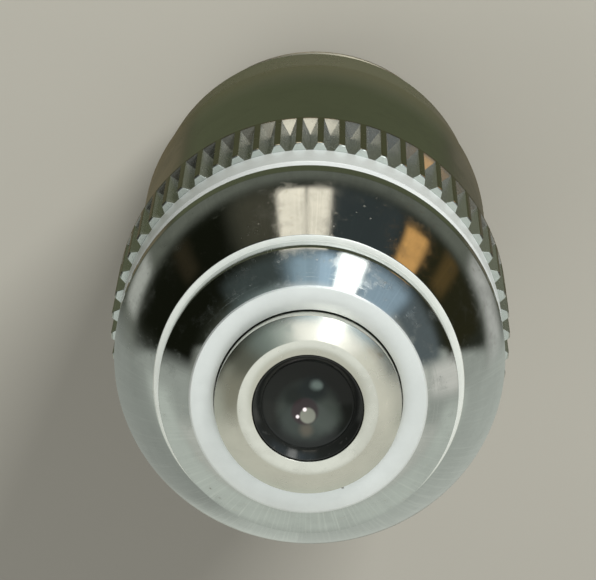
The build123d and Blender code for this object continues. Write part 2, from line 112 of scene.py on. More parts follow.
class Graph:
    """The nodes of a material or of the world, with short ways to add and join them."""

    def __init__(self, owner: Owner, output: str) -> None:
        """Start an empty tree with its output node.

        Args:
            owner: The material or world.
            output: Type of its output node.
        """
        owner.use_nodes = True
        self.owner = owner
        self.tree = owner.node_tree
        self.tree.nodes.clear()
        self.output = self.node(output)

    @classmethod
    def of_material(cls, name: str) -> "Graph":
        """Start a new material of this name."""
        return cls(bpy.data.materials.new(name), "ShaderNodeOutputMaterial")

    @classmethod
    def of_world(cls, name: str) -> "Graph":
        """Start a new world of this name."""
        return cls(bpy.data.worlds.new(name), "ShaderNodeOutputWorld")

    def close(self, shader: Socket) -> Owner:
        """Join the finished shader to the output.

        Args:
            shader: The shader.

        Returns:
            The material or world.
        """
        self.join(shader, self.output.inputs[0])
        return self.owner

    def node(self, kind: str, **settings: object) -> bpy.types.Node:
        """Add a node.

        Args:
            kind: The node's type.
            settings: Properties to set on it.

        Returns:
            The new node.
        """
        made = self.tree.nodes.new(kind)
        for key, value in settings.items():
            setattr(made, key, value)
        return made

    def join(self, source: Socket, target: Socket) -> None:
        """Link one socket to another.

        Args:
            source: The output socket.
            target: The input socket.
        """
        self.tree.links.new(source, target)

    def feed(self, target: Socket, value: Socket | float | Triple) -> None:
        """Give a socket a link or a constant.

        Args:
            target: The input socket.
            value: A socket to link, or the number or vector to set.
        """
        if isinstance(value, Socket):
            self.join(value, target)
        else:
            target.default_value = value

    def feed_colour(self, target: Socket, value: Socket | Colour) -> None:
        """Give a colour socket a link or a constant.

        Args:
            target: The input socket.
            value: A socket to link, or the colour to set.
        """
        self.feed(target, value if isinstance(value, Socket) else (*value, 1.0))

    def math(self, operation: str, *values: Socket | float) -> Socket:
        """Add a Math node.

        Args:
            operation: The operation's name.
            values: Its inputs, sockets or numbers.

        Returns:
            The result.
        """
        made = self.node("ShaderNodeMath", operation=operation)
        for socket, value in zip(made.inputs, values):
            self.feed(socket, value)
        return made.outputs[0]

    def vector(self, operation: str, *values: Socket | Triple) -> Socket:
        """Add a Vector Math node.

        Args:
            operation: The operation's name.
            values: Its inputs, sockets or vectors.

        Returns:
            The result, a number for an operation that gives one.
        """
        made = self.node("ShaderNodeVectorMath", operation=operation)
        for socket, value in zip(made.inputs, values):
            self.feed(socket, value)
        return next(result for result in made.outputs if result.enabled)

    def span(
        self, value: Socket, low: float, high: float,
        to_low: float = 0.0, to_high: float = 1.0, smooth: bool = False,
    ) -> Socket:
        """Map a range of values to another.

        Args:
            value: The value to map.
            low: Start of the range.
            high: End of the range.
            to_low: Result at the start.
            to_high: Result at the end.
            smooth: Whether to ease in and out.

        Returns:
            The mapped value.
        """
        kind = "SMOOTHSTEP" if smooth else "LINEAR"
        made = self.node("ShaderNodeMapRange", interpolation_type=kind)
        for socket, item in zip(made.inputs, (value, low, high, to_low, to_high)):
            self.feed(socket, item)
        return made.outputs[0]

    def mix(self, share: Socket, first: Socket | Colour, second: Socket | Colour) -> Socket:
        """Blend two colours.

        Args:
            share: How much of the second, from 0 to 1.
            first: A socket or a colour.
            second: A socket or a colour.

        Returns:
            The blended colour.
        """
        made = self.node("ShaderNodeMix", data_type="RGBA")
        colours = [socket for socket in made.inputs if socket.type == "RGBA"]
        self.join(share, made.inputs[0])
        self.feed_colour(colours[0], first)
        self.feed_colour(colours[1], second)
        return next(result for result in made.outputs if result.type == "RGBA")

    def noise(
        self, place: Socket, scale: float, detail: float = 2.0, roughness: float = 0.5
    ) -> Socket:
        """Add a noise texture.

        Args:
            place: The coordinates to read.
            scale: Features for each metre.
            detail: Number of finer layers.
            roughness: How strong the finer layers are.

        Returns:
            The noise value.
        """
        made = self.node("ShaderNodeTexNoise", noise_dimensions="3D")
        self.join(place, made.inputs["Vector"])
        made.inputs["Scale"].default_value = scale
        made.inputs["Detail"].default_value = detail
        made.inputs["Roughness"].default_value = roughness
        return made.outputs[0]

    def place(self) -> Socket:
        """Object coordinates."""
        return self.node("ShaderNodeTexCoord").outputs["Object"]

    def stretched(self, place: Socket, scale: Triple, turn: Triple = ORIGIN) -> Socket:
        """Turn and stretch coordinates.

        Args:
            place: The coordinates.
            scale: Factors along each axis.
            turn: Angles in degrees.

        Returns:
            The new coordinates.
        """
        made = self.node("ShaderNodeMapping", vector_type="POINT")
        self.join(place, made.inputs["Vector"])
        made.inputs["Rotation"].default_value = tuple(math.radians(angle) for angle in turn)
        made.inputs["Scale"].default_value = scale
        return made.outputs[0]

    def parts(self, vector: Socket) -> tuple[Socket, ...]:
        """Take a vector apart.

        Args:
            vector: The vector.

        Returns:
            Its X, Y and Z.
        """
        made = self.node("ShaderNodeSeparateXYZ")
        self.join(vector, made.inputs[0])
        return tuple(made.outputs)

    def pair(self, across: Socket, along: Socket) -> Socket:
        """Put two values in one vector.

        Args:
            across: Its X.
            along: Its Z.

        Returns:
            The vector.
        """
        made = self.node("ShaderNodeCombineXYZ")
        self.join(across, made.inputs["X"])
        self.join(along, made.inputs["Z"])
        return made.outputs[0]

    def bump(self, height: Socket, strength: float, distance: float) -> Socket:
        """Add a bump.

        Args:
            height: The height, from 0 to 1.
            strength: How much of it to use.
            distance: What a height of 1 stands for, in metres.

        Returns:
            The bumped normal.
        """
        made = self.node("ShaderNodeBump")
        made.inputs["Strength"].default_value = strength
        made.inputs["Distance"].default_value = distance
        self.join(height, made.inputs["Height"])
        return made.outputs[0]

    def principled(self, inputs: dict[str, Socket | float | tuple[float, ...]]) -> Socket:
        """Add a Principled shader.

        Args:
            inputs: What each named input gets, a socket or a constant.

        Returns:
            The shader.
        """
        made = self.node("ShaderNodeBsdfPrincipled")
        for name, value in inputs.items():
            self.feed(made.inputs[name], value)
        return made.outputs[0]

    def glow(self, kind: str, colour: Socket | Colour, strength: float = 1.0) -> Socket:
        """Add a shader that shines by itself.

        Args:
            kind: The node's type, for a surface or for the world.
            colour: What it shows.
            strength: How brightly.

        Returns:
            The shader.
        """
        made = self.node(kind)
        self.feed_colour(made.inputs["Color"], colour)
        made.inputs["Strength"].default_value = strength
        return made.outputs[0]

    def choose(self, share: Socket, first: Socket, second: Socket) -> Socket:
        """Blend two shaders.

        Args:
            share: How much of the second, from 0 to 1.
            first: A shader.
            second: A shader.

        Returns:
            The blended shader.
        """
        made = self.node("ShaderNodeMixShader")
        for socket, item in zip(made.inputs, (share, first, second)):
            self.join(item, socket)
        return made.outputs[0]


class Surface:
    """What a metal finish reads at each point: where the point lies and how it was handled.

    Attributes:
        graph: The material's nodes.
        place: Object coordinates.
        radius: Distance from the optical axis, in metres.
        height: Height along it, in metres.
        turned: Radius and height as one vector.
        smudge: Patches where it was handled, from 0 to 1.
        dust: Specks of dust, from 0 to 1.
        WIDE_SHARE: Share of the wide patches in the smudges.
        FINE_SHARE: Share of the fine ones.
    """

    WIDE_SHARE: ClassVar[float] = 0.65
    FINE_SHARE: ClassVar[float] = 0.35

    def __init__(self, graph: Graph) -> None:
        """Add the nodes that every metal finish reads.

        Args:
            graph: The material's nodes.
        """
        self.graph = graph
        self.place = graph.place()
        self.height = graph.parts(self.place)[2]
        self.radius = graph.vector("LENGTH", graph.vector("MULTIPLY", self.place, ACROSS_AXIS))
        self.turned = graph.pair(self.radius, self.height)
        self.smudge = self._smudge()
        specks = graph.noise(self.place, scale=2600.0, detail=1.0)
        self.dust = graph.span(specks, low=0.66, high=0.76, smooth=True)

    def _smudge(self) -> Socket:
        """Patches where the finish was handled.

        Returns:
            A mask from 0 to 1.
        """
        wide = self.graph.noise(self.place, scale=170.0, detail=4.0, roughness=0.6)
        fine = self.graph.noise(self.place, scale=900.0, detail=3.0, roughness=0.6)
        base = self.graph.math("MULTIPLY", wide, self.WIDE_SHARE)
        both = self.graph.math("MULTIPLY_ADD", fine, self.FINE_SHARE, base)
        return self.graph.span(both, low=0.42, high=0.62, smooth=True)

    def by_height(
        self, low: float, high: float, to_low: float = 0.0, to_high: float = 1.0,
        smooth: bool = False,
    ) -> Socket:
        """Map heights to values.

        Args:
            low: Where the range starts, in millimetres.
            high: Where it ends.
            to_low: Result at the start.
            to_high: Result at the end.
            smooth: Whether to ease in and out.

        Returns:
            The value.
        """
        return self.graph.span(self.height, low * MM, high * MM, to_low, to_high, smooth)

    def by_radius(
        self, low: float, high: float, to_low: float = 0.0, to_high: float = 1.0
    ) -> Socket:
        """Map distances from the optical axis to values.

        Args:
            low: Where the range starts, in millimetres.
            high: Where it ends.
            to_low: Result at the start.
            to_high: Result at the end.

        Returns:
            The value.
        """
        return self.graph.span(self.radius, low * MM, high * MM, to_low, to_high)


@dataclass(frozen=True)
class Mark:
    """A small worn or stained spot on a surface.

    Attributes:
        place: Its middle, in millimetres.
        size: Roughly how wide it is, in millimetres.
        colour: Its colour.
        roughness: Its roughness.
        strength: How strongly it shows, from 0 to 1.
        RAGGED_SCALE: How many times its edge goes in and out across its width.
        RAGGED_REACH: How far out the edge can go, as a share of the size.
        FADE: How far it fades inwards, as a share of the size.
    """

    place: Place
    size: float
    colour: Colour
    roughness: float
    strength: float = 1.0

    RAGGED_SCALE: ClassVar[float] = 2.2
    RAGGED_REACH: ClassVar[float] = 1.3
    FADE: ClassVar[float] = 0.6

    def mask(self, on: Surface) -> Socket:
        """Find where the spot lies, with its ragged edge.

        Args:
            on: The surface.

        Returns:
            A mask from 0 to the spot's strength.
        """
        graph, size = on.graph, self.size * MM
        far = graph.vector("DISTANCE", on.place, tuple(part * MM for part in self.place))
        ragged = graph.noise(on.place, self.RAGGED_SCALE / size, detail=3.0, roughness=0.7)
        reach = graph.math("MULTIPLY", ragged, self.RAGGED_REACH * size)
        inside = graph.math("SUBTRACT", reach, far)
        return graph.span(inside, 0.0, self.FADE * size, 0.0, self.strength, smooth=True)


@dataclass(frozen=True)
class Metal:
    """A metal finish: its colour, how smooth it is and the marks that work left on it.

    Attributes:
        name: Name of the material.
        colour: Reflected colour.
        roughness: Roughness of clean metal.
        smudge: Extra roughness where it was handled.
        metallic: How much it reflects as bare metal.
        grain: Which way the fine marks run.
        grain_pitch: Distance between fine marks, in millimetres.
        grain_depth: Strength of the fine marks.
        anisotropy: How far highlights spread across the marks.
        scratches: How many hairline scratches show.
        dust: How much dull dust lies on it.
        marks: Single spots.
        HANDLED_TONE: Share of its colour that is left where it was handled.
        DUST_COLOUR: Colour of the dust.
        DUST_ROUGH: Extra roughness of full dust.
        SCRATCH_ROUGH: Extra roughness of a scratch.
        SCRATCH_RELIEF: How far a scratch goes down against the fine marks.
        SCRATCH_TURNS: Ways in which the long scratches run, in degrees about each axis.
        SCRATCH_STRETCH: How closely they change along each axis.
        DRAWN_STRETCH: The same for drawn marks.
        RELIEF_HEIGHT: Height of the fine marks, in millimetres.
    """

    name: str
    colour: Colour
    roughness: float
    smudge: float = 0.06
    metallic: float = 1.0
    grain: Grain = Grain.TURNED
    grain_pitch: float = 0.05
    grain_depth: float = 0.15
    anisotropy: float = 0.0
    scratches: float = 0.3
    dust: float = 0.1
    marks: tuple[Mark, ...] = ()

    HANDLED_TONE: ClassVar[float] = 0.93
    DUST_COLOUR: ClassVar[Colour] = (0.62, 0.61, 0.57)
    DUST_ROUGH: ClassVar[float] = 0.25
    SCRATCH_ROUGH: ClassVar[float] = 0.18
    SCRATCH_RELIEF: ClassVar[float] = -0.6
    SCRATCH_TURNS: ClassVar[tuple[Triple, ...]] = ((20, 35, 10), (-50, 15, 70), (75, -30, 40))
    SCRATCH_STRETCH: ClassVar[Triple] = (1.0, 1.0, 0.035)
    DRAWN_STRETCH: ClassVar[Triple] = (1.0, 1.0, 0.03)
    RELIEF_HEIGHT: ClassVar[float] = 0.004

    def material(self) -> bpy.types.Material:
        """Build the finish.

        Returns:
            The material.
        """
        graph = Graph.of_material(self.name)
        on = Surface(graph)
        scratch = self._scratches(on)
        colour = self._colour(on)
        rough = graph.math("MULTIPLY_ADD", on.smudge, self.smudge, self.roughness)
        rough = graph.math("MULTIPLY_ADD", scratch, self.SCRATCH_ROUGH, rough)
        rough = graph.math("MULTIPLY_ADD", on.dust, self.DUST_ROUGH * self.dust, rough)
        rough = self._roughness(on, rough)
        for mark in self.marks:
            mask = mark.mask(on)
            colour = graph.mix(mask, colour, mark.colour)
            rough = graph.math("MAXIMUM", rough, graph.math("MULTIPLY", mask, mark.roughness))
        relief = graph.math("MULTIPLY_ADD", scratch, self.SCRATCH_RELIEF, self._grain(on))
        inputs = {
            "Base Color": colour,
            "Roughness": rough,
            "Metallic": self._metallic(on),
            "Normal": graph.bump(relief, self.grain_depth, self.RELIEF_HEIGHT * MM),
        }
        if self.anisotropy:
            tangent = graph.node("ShaderNodeTangent", direction_type="RADIAL", axis="Z")
            inputs |= {"Anisotropic": self.anisotropy, "Tangent": tangent.outputs[0]}
        return graph.close(graph.principled(inputs))

    def _grain(self, on: Surface) -> Socket:
        """Relief of the fine marks that the work left.

        Args:
            on: The surface.

        Returns:
            A height from 0 to 1.
        """
        scale = 1.0 / (self.grain_pitch * MM)
        if self.grain is Grain.DRAWN:
            drawn = on.graph.stretched(on.place, self.DRAWN_STRETCH)
            return on.graph.noise(drawn, scale, detail=3.0, roughness=0.6)
        return on.graph.noise(on.turned, scale, detail=3.0, roughness=0.65)

    def _scratches(self, on: Surface) -> Socket:
        """Hairline scratches, long across the surface and a few along the turning.

        Args:
            on: The surface.

        Returns:
            A mask from 0 to 1.
        """
        graph = on.graph
        round_lines = graph.noise(on.turned, scale=9000.0, detail=1.0)
        total = graph.span(round_lines, low=0.70, high=0.74)
        for turn in self.SCRATCH_TURNS:
            slanted = graph.stretched(on.place, self.SCRATCH_STRETCH, turn)
            line = graph.noise(slanted, scale=5200.0, detail=1.0)
            total = graph.math("MAXIMUM", total, graph.span(line, low=0.735, high=0.765))
        cloud = graph.noise(on.place, scale=420.0, detail=2.0)
        patchy = graph.span(cloud, low=0.45, high=0.65, smooth=True)
        return graph.math("MULTIPLY", graph.math("MULTIPLY", total, patchy), self.scratches)

    def _colour(self, on: Surface) -> Socket:
        """Base colour with handling and dust.

        Args:
            on: The surface.

        Returns:
            The colour.
        """
        graph = on.graph
        colour = graph.mix(on.smudge, self.colour, scaled(self.colour, self.HANDLED_TONE))
        return graph.mix(graph.math("MULTIPLY", on.dust, self.dust), colour, self.DUST_COLOUR)

    def _roughness(self, on: Surface, rough: Socket) -> Socket:
        """Roughness, the same finish all over."""
        return rough

    def _metallic(self, on: Surface) -> Socket | float:
        """How much it reflects as bare metal, the same all over."""
        return self.metallic


def scaled(colour: Colour, factor: float) -> Colour:
    """Make a colour darker or paler.

    Args:
        colour: The colour.
        factor: What each of its parts is multiplied by.

    Returns:
        The new colour.
    """
    return tuple(factor * part for part in colour)


@dataclass(frozen=True)
class KnurlMetal(Metal):
    """Chrome on the grip: bright cut grooves under duller, handled crests.

    Attributes:
        crest_radius: Radius of the crests, in millimetres.
        crest_edge: How far under the crests the grime starts and where it is full.
        crest_share: How much of the crests the grime covers, from 0 to 1.
        crest_colour: Colour of the grime.
        end_height: Height past which the front end face lies, in millimetres.
        end_colour: Colour of that face.
        groove_metallic: How much the grooves reflect as bare metal, under a thin film.
    """

    crest_radius: float = 12.27
    crest_edge: Range = (0.05, 0.02)
    crest_share: float = 0.6
    crest_colour: Colour = (0.36, 0.27, 0.16)
    end_height: float = 29.6
    end_colour: Colour = (0.46, 0.49, 0.46)
    groove_metallic: float = 0.93

    def _crest(self, on: Surface, to_low: float, to_high: float) -> Socket:
        """Map the grooves and the crests to values.

        Args:
            on: The surface.
            to_low: Result in the grooves.
            to_high: Result on the crests.

        Returns:
            The value.
        """
        start, full = (self.crest_radius - under for under in self.crest_edge)
        return on.by_radius(start, full, to_low, to_high)

    def _colour(self, on: Surface) -> Socket:
        """Base colour, browned on the crests where grime stays and duller on the end face.

        Args:
            on: The surface.

        Returns:
            The colour.
        """
        graph = on.graph
        end = graph.math("GREATER_THAN", on.height, self.end_height * MM)
        faced = graph.mix(end, super()._colour(on), self.end_colour)
        share = graph.math("MULTIPLY", self._crest(on, 0.0, 1.0), self.crest_share)
        return graph.mix(share, faced, self.crest_colour)

    def _metallic(self, on: Surface) -> Socket | float:
        """How much it reflects as bare metal, less in the grooves."""
        return self._crest(on, self.groove_metallic, self.metallic)


@dataclass(frozen=True)
class SleeveMetal(Metal):
    """Chrome with painted light towards the rear rim: browner there, and less like bare metal so
    that the lamps light it paler.

    Attributes:
        rim_light_low: Height of the rear rim, in millimetres.
        rim_light_high: Where the painted light ends.
        rim_light_colour: Its colour.
        rim_light_cover: How much of the rim's colour it hides, from 0 to 1.
        rim_light_share: How much less the rim reflects as bare metal.
    """

    rim_light_low: float = 5.7
    rim_light_high: float = 12.0
    rim_light_colour: Colour = (0.53, 0.46, 0.31)
    rim_light_cover: float = 0.8
    rim_light_share: float = 0.08

    def _painted_rim_light(self, on: Surface, to_high: float, to_low: float) -> Socket:
        """Map the painted rim light to values, from its end to the rear rim.

        Args:
            on: The surface.
            to_high: Result where the painted light ends.
            to_low: Result at the rim.

        Returns:
            The value.
        """
        return on.by_height(self.rim_light_high, self.rim_light_low, to_high, to_low, smooth=True)

    def _colour(self, on: Surface) -> Socket:
        """Base colour, with painted light that turns it browner towards the rear rim."""
        film = self._painted_rim_light(on, 0.0, self.rim_light_cover)
        return on.graph.mix(film, super()._colour(on), self.rim_light_colour)

    def _metallic(self, on: Surface) -> Socket | float:
        """How much it reflects as bare metal, less towards the rear rim so that the lamps light the
        painted rim paler.
        """
        return self._painted_rim_light(on, self.metallic, self.metallic - self.rim_light_share)


@dataclass(frozen=True)
class ThreadMetal(Metal):
    """Nickel whose thread has gone dull and brown from use.

    Attributes:
        thread_high: Upper end of the thread, in millimetres.
        thread_fade: How far the brown fades to each side of that end.
        thread_colour: Colour of the thread.
        thread_cover: How much of the clean colour the brown hides, from 0 to 1.
        thread_rough: Roughness of the thread.
    """

    thread_high: float = 0.0
    thread_fade: float = 0.2
    thread_colour: Colour = (0.33, 0.29, 0.22)
    thread_cover: float = 0.8
    thread_rough: float = 0.36

    def _thread(self, on: Surface, most: float) -> Socket:
        """Map the thread to a value.

        Args:
            on: The surface.
            most: Result on the thread.

        Returns:
            The value, 0 above the thread.
        """
        clean, dull = self.thread_high + self.thread_fade, self.thread_high - self.thread_fade
        return on.by_height(clean, dull, 0.0, most)

    def _colour(self, on: Surface) -> Socket:
        """Base colour, browned on the thread."""
        thread = self._thread(on, self.thread_cover)
        return on.graph.mix(thread, super()._colour(on), self.thread_colour)

    def _roughness(self, on: Surface, rough: Socket) -> Socket:
        """Roughness, duller on the thread."""
        return on.graph.math("MAXIMUM", rough, self._thread(on, self.thread_rough))


@dataclass(frozen=True)
class CapMetal(Metal):
    """Polished chrome, rubbed along the cone, with satin faces that were turned last.

    Attributes:
        front: Colour of the satin front ring.
        front_low: Where the front ring starts.
        front_fade: How far below and above that height its edge fades.
        step: Colour of the satin shoulder.
        step_height: Height of the shoulder.
        step_fade: How far from that height its edge fades, from clean to full.
        strip: Colour of the satin strip on the rear land.
        strip_high: Upper end of that strip.
        strip_fade: How far the strip fades out above it.
        satin_rough: Roughness of the satin faces.
        satin_worn: How much darker the satin faces are where they were handled.
        flat_metallic: How much the front ring and the shoulder reflect as bare metal.
        strip_metallic: How much the strip does.
        rub: Colour of the rubbed streaks.
        rub_share: How much of the chrome they cover, from 0 to 1.
        rub_count: How many of them lie side by side on a radian.
        rub_drift: How much they change along the cone, for each millimetre.
        rub_side: From where to where they grow stronger, in millimetres along Y.
        rub_least: Their strength before that.
        haze: Extra roughness of the hazy patches.
        haze_side: From where to where the haze grows stronger, in millimetres of height.
        haze_least: Its strength before that.
    """

    front: Colour = (0.80, 0.83, 0.825)
    front_low: float = 42.42
    front_fade: Range = (0.02, 0.03)
    step: Colour = (0.93, 0.95, 0.91)
    step_height: float = 39.5
    step_fade: Range = (0.035, 0.015)
    strip: Colour = (0.80, 0.84, 0.85)
    strip_high: float = 33.3
    strip_fade: float = 0.12
    satin_rough: float = 0.40
    satin_worn: float = 0.94
    flat_metallic: float = 0.8
    strip_metallic: float = 0.3
    rub: Colour = (0.80, 0.82, 0.80)
    rub_share: float = 0.55
    rub_count: float = 55.0
    rub_drift: float = 0.15
    rub_side: Range = (2.0, 9.0)
    rub_least: float = 0.35
    haze: float = 0.13
    haze_side: Range = (40.7, 41.0)
    haze_least: float = 0.35

    def _faces(self, on: Surface) -> tuple[Socket, ...]:
        """Find the satin faces.

        Args:
            on: The surface.

        Returns:
            The masks of the front ring, the shoulder and the rear strip.
        """
        graph = on.graph
        below, above = self.front_fade
        front = on.by_height(self.front_low - below, self.front_low + above)
        away = graph.math("ABSOLUTE", graph.math("SUBTRACT", on.height, self.step_height * MM))
        step = graph.span(away, *(far * MM for far in self.step_fade))
        strip = on.by_height(self.strip_high + self.strip_fade, self.strip_high)
        return front, step, strip

    def _streaks(self, on: Surface) -> Socket:
        """Find the rubbed streaks, which run along the cone.

        Args:
            on: The surface.

        Returns:
            A mask from 0 to their share.
        """
        graph = on.graph
        across, side, _ = graph.parts(on.place)
        turn = graph.math("ARCTAN2", across, side)
        drift = graph.math("MULTIPLY", on.height, self.rub_drift / MM / self.rub_count)
        streak = graph.noise(graph.pair(turn, drift), self.rub_count, detail=3.0, roughness=0.7)
        start, full = (way * MM for way in self.rub_side)
        lower = graph.span(side, start, full, self.rub_least, 1.0, smooth=True)
        share = graph.math("MULTIPLY", graph.span(streak, low=0.50, high=0.68), lower)
        return graph.math("MULTIPLY", share, self.rub_share)

    def _colour(self, on: Surface) -> Socket:
        """Base colour, streaked along the cone and paler on the satin faces.

        Args:
            on: The surface.

        Returns:
            The colour.
        """
        graph = on.graph
        colour = graph.mix(self._streaks(on), super()._colour(on), self.rub)
        for face, tone in zip(self._faces(on), (self.front, self.step, self.strip)):
            worn = graph.mix(on.smudge, tone, scaled(tone, self.satin_worn))
            colour = graph.mix(face, colour, worn)
        return colour

    def _roughness(self, on: Surface, rough: Socket) -> Socket:
        """Roughness, raised in hazy patches and more on the satin faces.

        Args:
            on: The surface.
            rough: Roughness of the chrome.

        Returns:
            The roughness.
        """
        graph = on.graph
        cloud = graph.noise(on.place, scale=900.0, detail=5.0, roughness=0.7)
        patch = graph.span(cloud, 0.50, 0.66, 0.0, self.haze, smooth=True)
        share = on.by_height(*self.haze_side, self.haze_least, 1.0)
        rough = graph.math("MULTIPLY_ADD", patch, share, rough)
        for face in self._faces(on):
            rough = graph.math("MAXIMUM", rough, graph.math("MULTIPLY", face, self.satin_rough))
        return rough

    def _metallic(self, on: Surface) -> Socket | float:
        """How much it reflects as bare metal, less on the satin faces.

        Args:
            on: The surface.

        Returns:
            The share, from 0 to 1.
        """
        graph = on.graph
        front, step, strip = self._faces(on)
        flat = graph.math("MAXIMUM", front, step)
        bare = graph.math("MULTIPLY_ADD", flat, self.flat_metallic - self.metallic, self.metallic)
        return graph.math("MULTIPLY_ADD", strip, self.strip_metallic - self.metallic, bare)


@dataclass(frozen=True)
class CellMetal(Metal):
    """Nickel outside, with the chamber behind the front lens blackened.

    Attributes:
        chamber_radius: Radius inside which the chamber lies, in millimetres.
        chamber_high: Height below which it lies.
        chamber_colour: Its colour.
    """

    chamber_radius: float = 5.0
    chamber_high: float = 42.45
    chamber_colour: Colour = (0.012, 0.012, 0.012)

    def _colour(self, on: Surface) -> Socket:
        """Base colour, black inside the chamber.

        Args:
            on: The surface.

        Returns:
            The colour.
        """
        inner = on.graph.math("LESS_THAN", on.radius, self.chamber_radius * MM)
        below = on.graph.math("LESS_THAN", on.height, self.chamber_high * MM)
        chamber = on.graph.math("MULTIPLY", inner, below)
        return on.graph.mix(chamber, super()._colour(on), self.chamber_colour)


@dataclass(frozen=True)
class PaintedLensSpot:
    """A painted light or shade in the front lens, as a soft spot across its face: a glow, dark
    patch, pupil, highlight or glint.

    Attributes:
        place: Where it lies across the face, in millimetres.
        radius: Its radius.
        soft: How far its edge fades.
        colour: Its colour.
        share: How strongly it shows, from 0 to 1.
        RAGGED: How uneven its edge is, as a share of the fade.
    """

    place: tuple[float, float]
    radius: float
    soft: float
    colour: Colour
    share: float = 1.0

    RAGGED: ClassVar[float] = 0.25

    def cover(self, graph: Graph, flat: Socket, wobble: Socket) -> Socket:
        """Find where it shows.

        Args:
            graph: The material's nodes.
            flat: Object coordinates across the face.
            wobble: Noise that makes its edge uneven.

        Returns:
            A mask from 0 to its share.
        """
        far = graph.vector("DISTANCE", flat, (self.place[0] * MM, self.place[1] * MM, 0.0))
        edge = graph.math("MULTIPLY_ADD", wobble, self.RAGGED * self.soft * MM, far)
        inner, outer = self.radius - 0.5 * self.soft, self.radius + 0.5 * self.soft
        return graph.span(edge, outer * MM, inner * MM, 0.0, self.share, smooth=True)


@dataclass(frozen=True)
class FrontGlass:
    """Dark coated front lens, with painted light and shade across its face: glow, dark patches, a
    pale pupil and glints.

    Attributes:
        name: Name of the material.
        tint: Colour of the depth behind the glass.
        cloud: Its colour in cloudy patches.
        bending: Index of refraction.
        painted_spots: The painted light and shade across the face, the topmost last.
    """

    name: str = "front_glass"
    tint: Colour = (0.005, 0.006, 0.005)
    cloud: Colour = (0.008, 0.010, 0.009)
    bending: float = 1.38
    # Painted glow, painted dark patches, the painted pale pupil with its ring, and painted
    # highlights and glints.
    painted_spots: tuple[PaintedLensSpot, ...] = (
        PaintedLensSpot((0.0, 0.45), 1.85, 0.7, (0.028, 0.036, 0.031), 0.95),
        PaintedLensSpot((-0.95, 0.70), 1.05, 0.8, (0.050, 0.062, 0.053), 0.9),
        PaintedLensSpot((0.85, -0.35), 0.75, 0.8, (0.005, 0.008, 0.007), 0.85),
        PaintedLensSpot((-0.25, -0.80), 0.90, 0.7, (0.006, 0.011, 0.012), 0.85),
        PaintedLensSpot((-0.42, -1.06), 0.36, 0.42, (0.160, 0.210, 0.190), 0.95),
        PaintedLensSpot((-0.62, -1.04), 0.20, 0.30, (0.160, 0.210, 0.190), 0.8),
        PaintedLensSpot((0.02, 1.66), 0.42, 0.5, (0.080, 0.072, 0.054), 0.8),
        PaintedLensSpot((0.16, 0.60), 0.82, 0.26, (0.024, 0.014, 0.016), 0.85),
        PaintedLensSpot((-0.02, 0.86), 0.47, 0.16, (0.180, 0.190, 0.155), 1.0),
        PaintedLensSpot((0.17, 0.52), 0.12, 0.10, (0.98, 0.88, 0.90), 1.0),
        PaintedLensSpot((0.57, 0.94), 0.11, 0.10, (0.90, 0.82, 0.84), 0.9),
    )

    def material(self) -> bpy.types.Material:
        """Build the finish.

        Returns:
            The material.
        """
        graph = Graph.of_material(self.name)
        place = graph.place()
        flat = graph.vector("MULTIPLY", place, ACROSS_AXIS)
        wobble = graph.noise(place, scale=2400.0, detail=2.0)
        colour = graph.mix(graph.noise(place, scale=500.0, detail=3.0), self.tint, self.cloud)
        # Lay the painted light and shade over the glass's own dark tone.
        for depth in self.painted_spots:
            colour = graph.mix(depth.cover(graph, flat, wobble), colour, depth.colour)
        film = graph.noise(place, scale=700.0, detail=4.0)
        return graph.close(graph.principled({
            "Base Color": colour,
            "Roughness": graph.span(film, 0.45, 0.7, to_low=0.03, to_high=0.10),
            "IOR": self.bending,
        }))


@dataclass(frozen=True)
class ClearGlass:
    """Coated glass of the inner lenses, with a faint tint.

    Attributes:
        name: Name of the material.
        tint: Colour of the glass.
        cloud: Its colour in cloudy patches.
        bending: Index of refraction.
        clear: How much light goes through it, from 0 to 1.
        coat: How strong its coating is.
        coat_tint: Colour of the coating.
    """

    name: str = "clear_glass"
    tint: Colour = (0.93, 0.97, 0.95)
    cloud: Colour = (0.90, 0.95, 0.97)
    bending: float = 1.62
    clear: float = 0.85
    coat: float = 0.3
    coat_tint: Colour = (0.80, 0.72, 1.0)

    def material(self) -> bpy.types.Material:
        """Build the finish.

        Returns:
            The material.
        """
        graph = Graph.of_material(self.name)
        place = graph.place()
        film = graph.noise(place, scale=600.0, detail=4.0)
        cloud = graph.noise(place, scale=400.0, detail=3.0)
        return graph.close(graph.principled({
            "Base Color": graph.mix(cloud, self.tint, self.cloud),
            "Roughness": graph.span(film, 0.4, 0.7, to_low=0.015, to_high=0.07),
            "IOR": self.bending,
            "Transmission Weight": self.clear,
            "Coat Weight": self.coat,
            "Coat Tint": (*self.coat_tint, 1.0),
        }))


@dataclass(frozen=True)
class FloorPaper:
    """Plain finish of the floor.

    Attributes:
        colour: Its colour.
        paler: How much paler it is in places.
    """

    colour: Colour
    paler: float = 1.03

    def material(self) -> bpy.types.Material:
        """Build the finish, clear when it is seen from below.

        Returns:
            The material.
        """
        graph = Graph.of_material("floor_paper")
        cloud = graph.noise(graph.place(), scale=60.0, detail=3.0)
        paper = graph.node("ShaderNodeBsdfDiffuse")
        graph.join(graph.mix(cloud, self.colour, scaled(self.colour, self.paler)), paper.inputs[0])
        below = graph.node("ShaderNodeNewGeometry").outputs["Backfacing"]
        clear = graph.node("ShaderNodeBsdfTransparent")
        return graph.close(graph.choose(below, paper.outputs[0], clear.outputs[0]))


Finish = Metal | FrontGlass | ClearGlass

CHROME_TONE: Colour = (0.62, 0.64, 0.63)
DUST_SPOT: Colour = (0.72, 0.72, 0.68)
RIM_SPOT: Colour = (0.33, 0.32, 0.29)


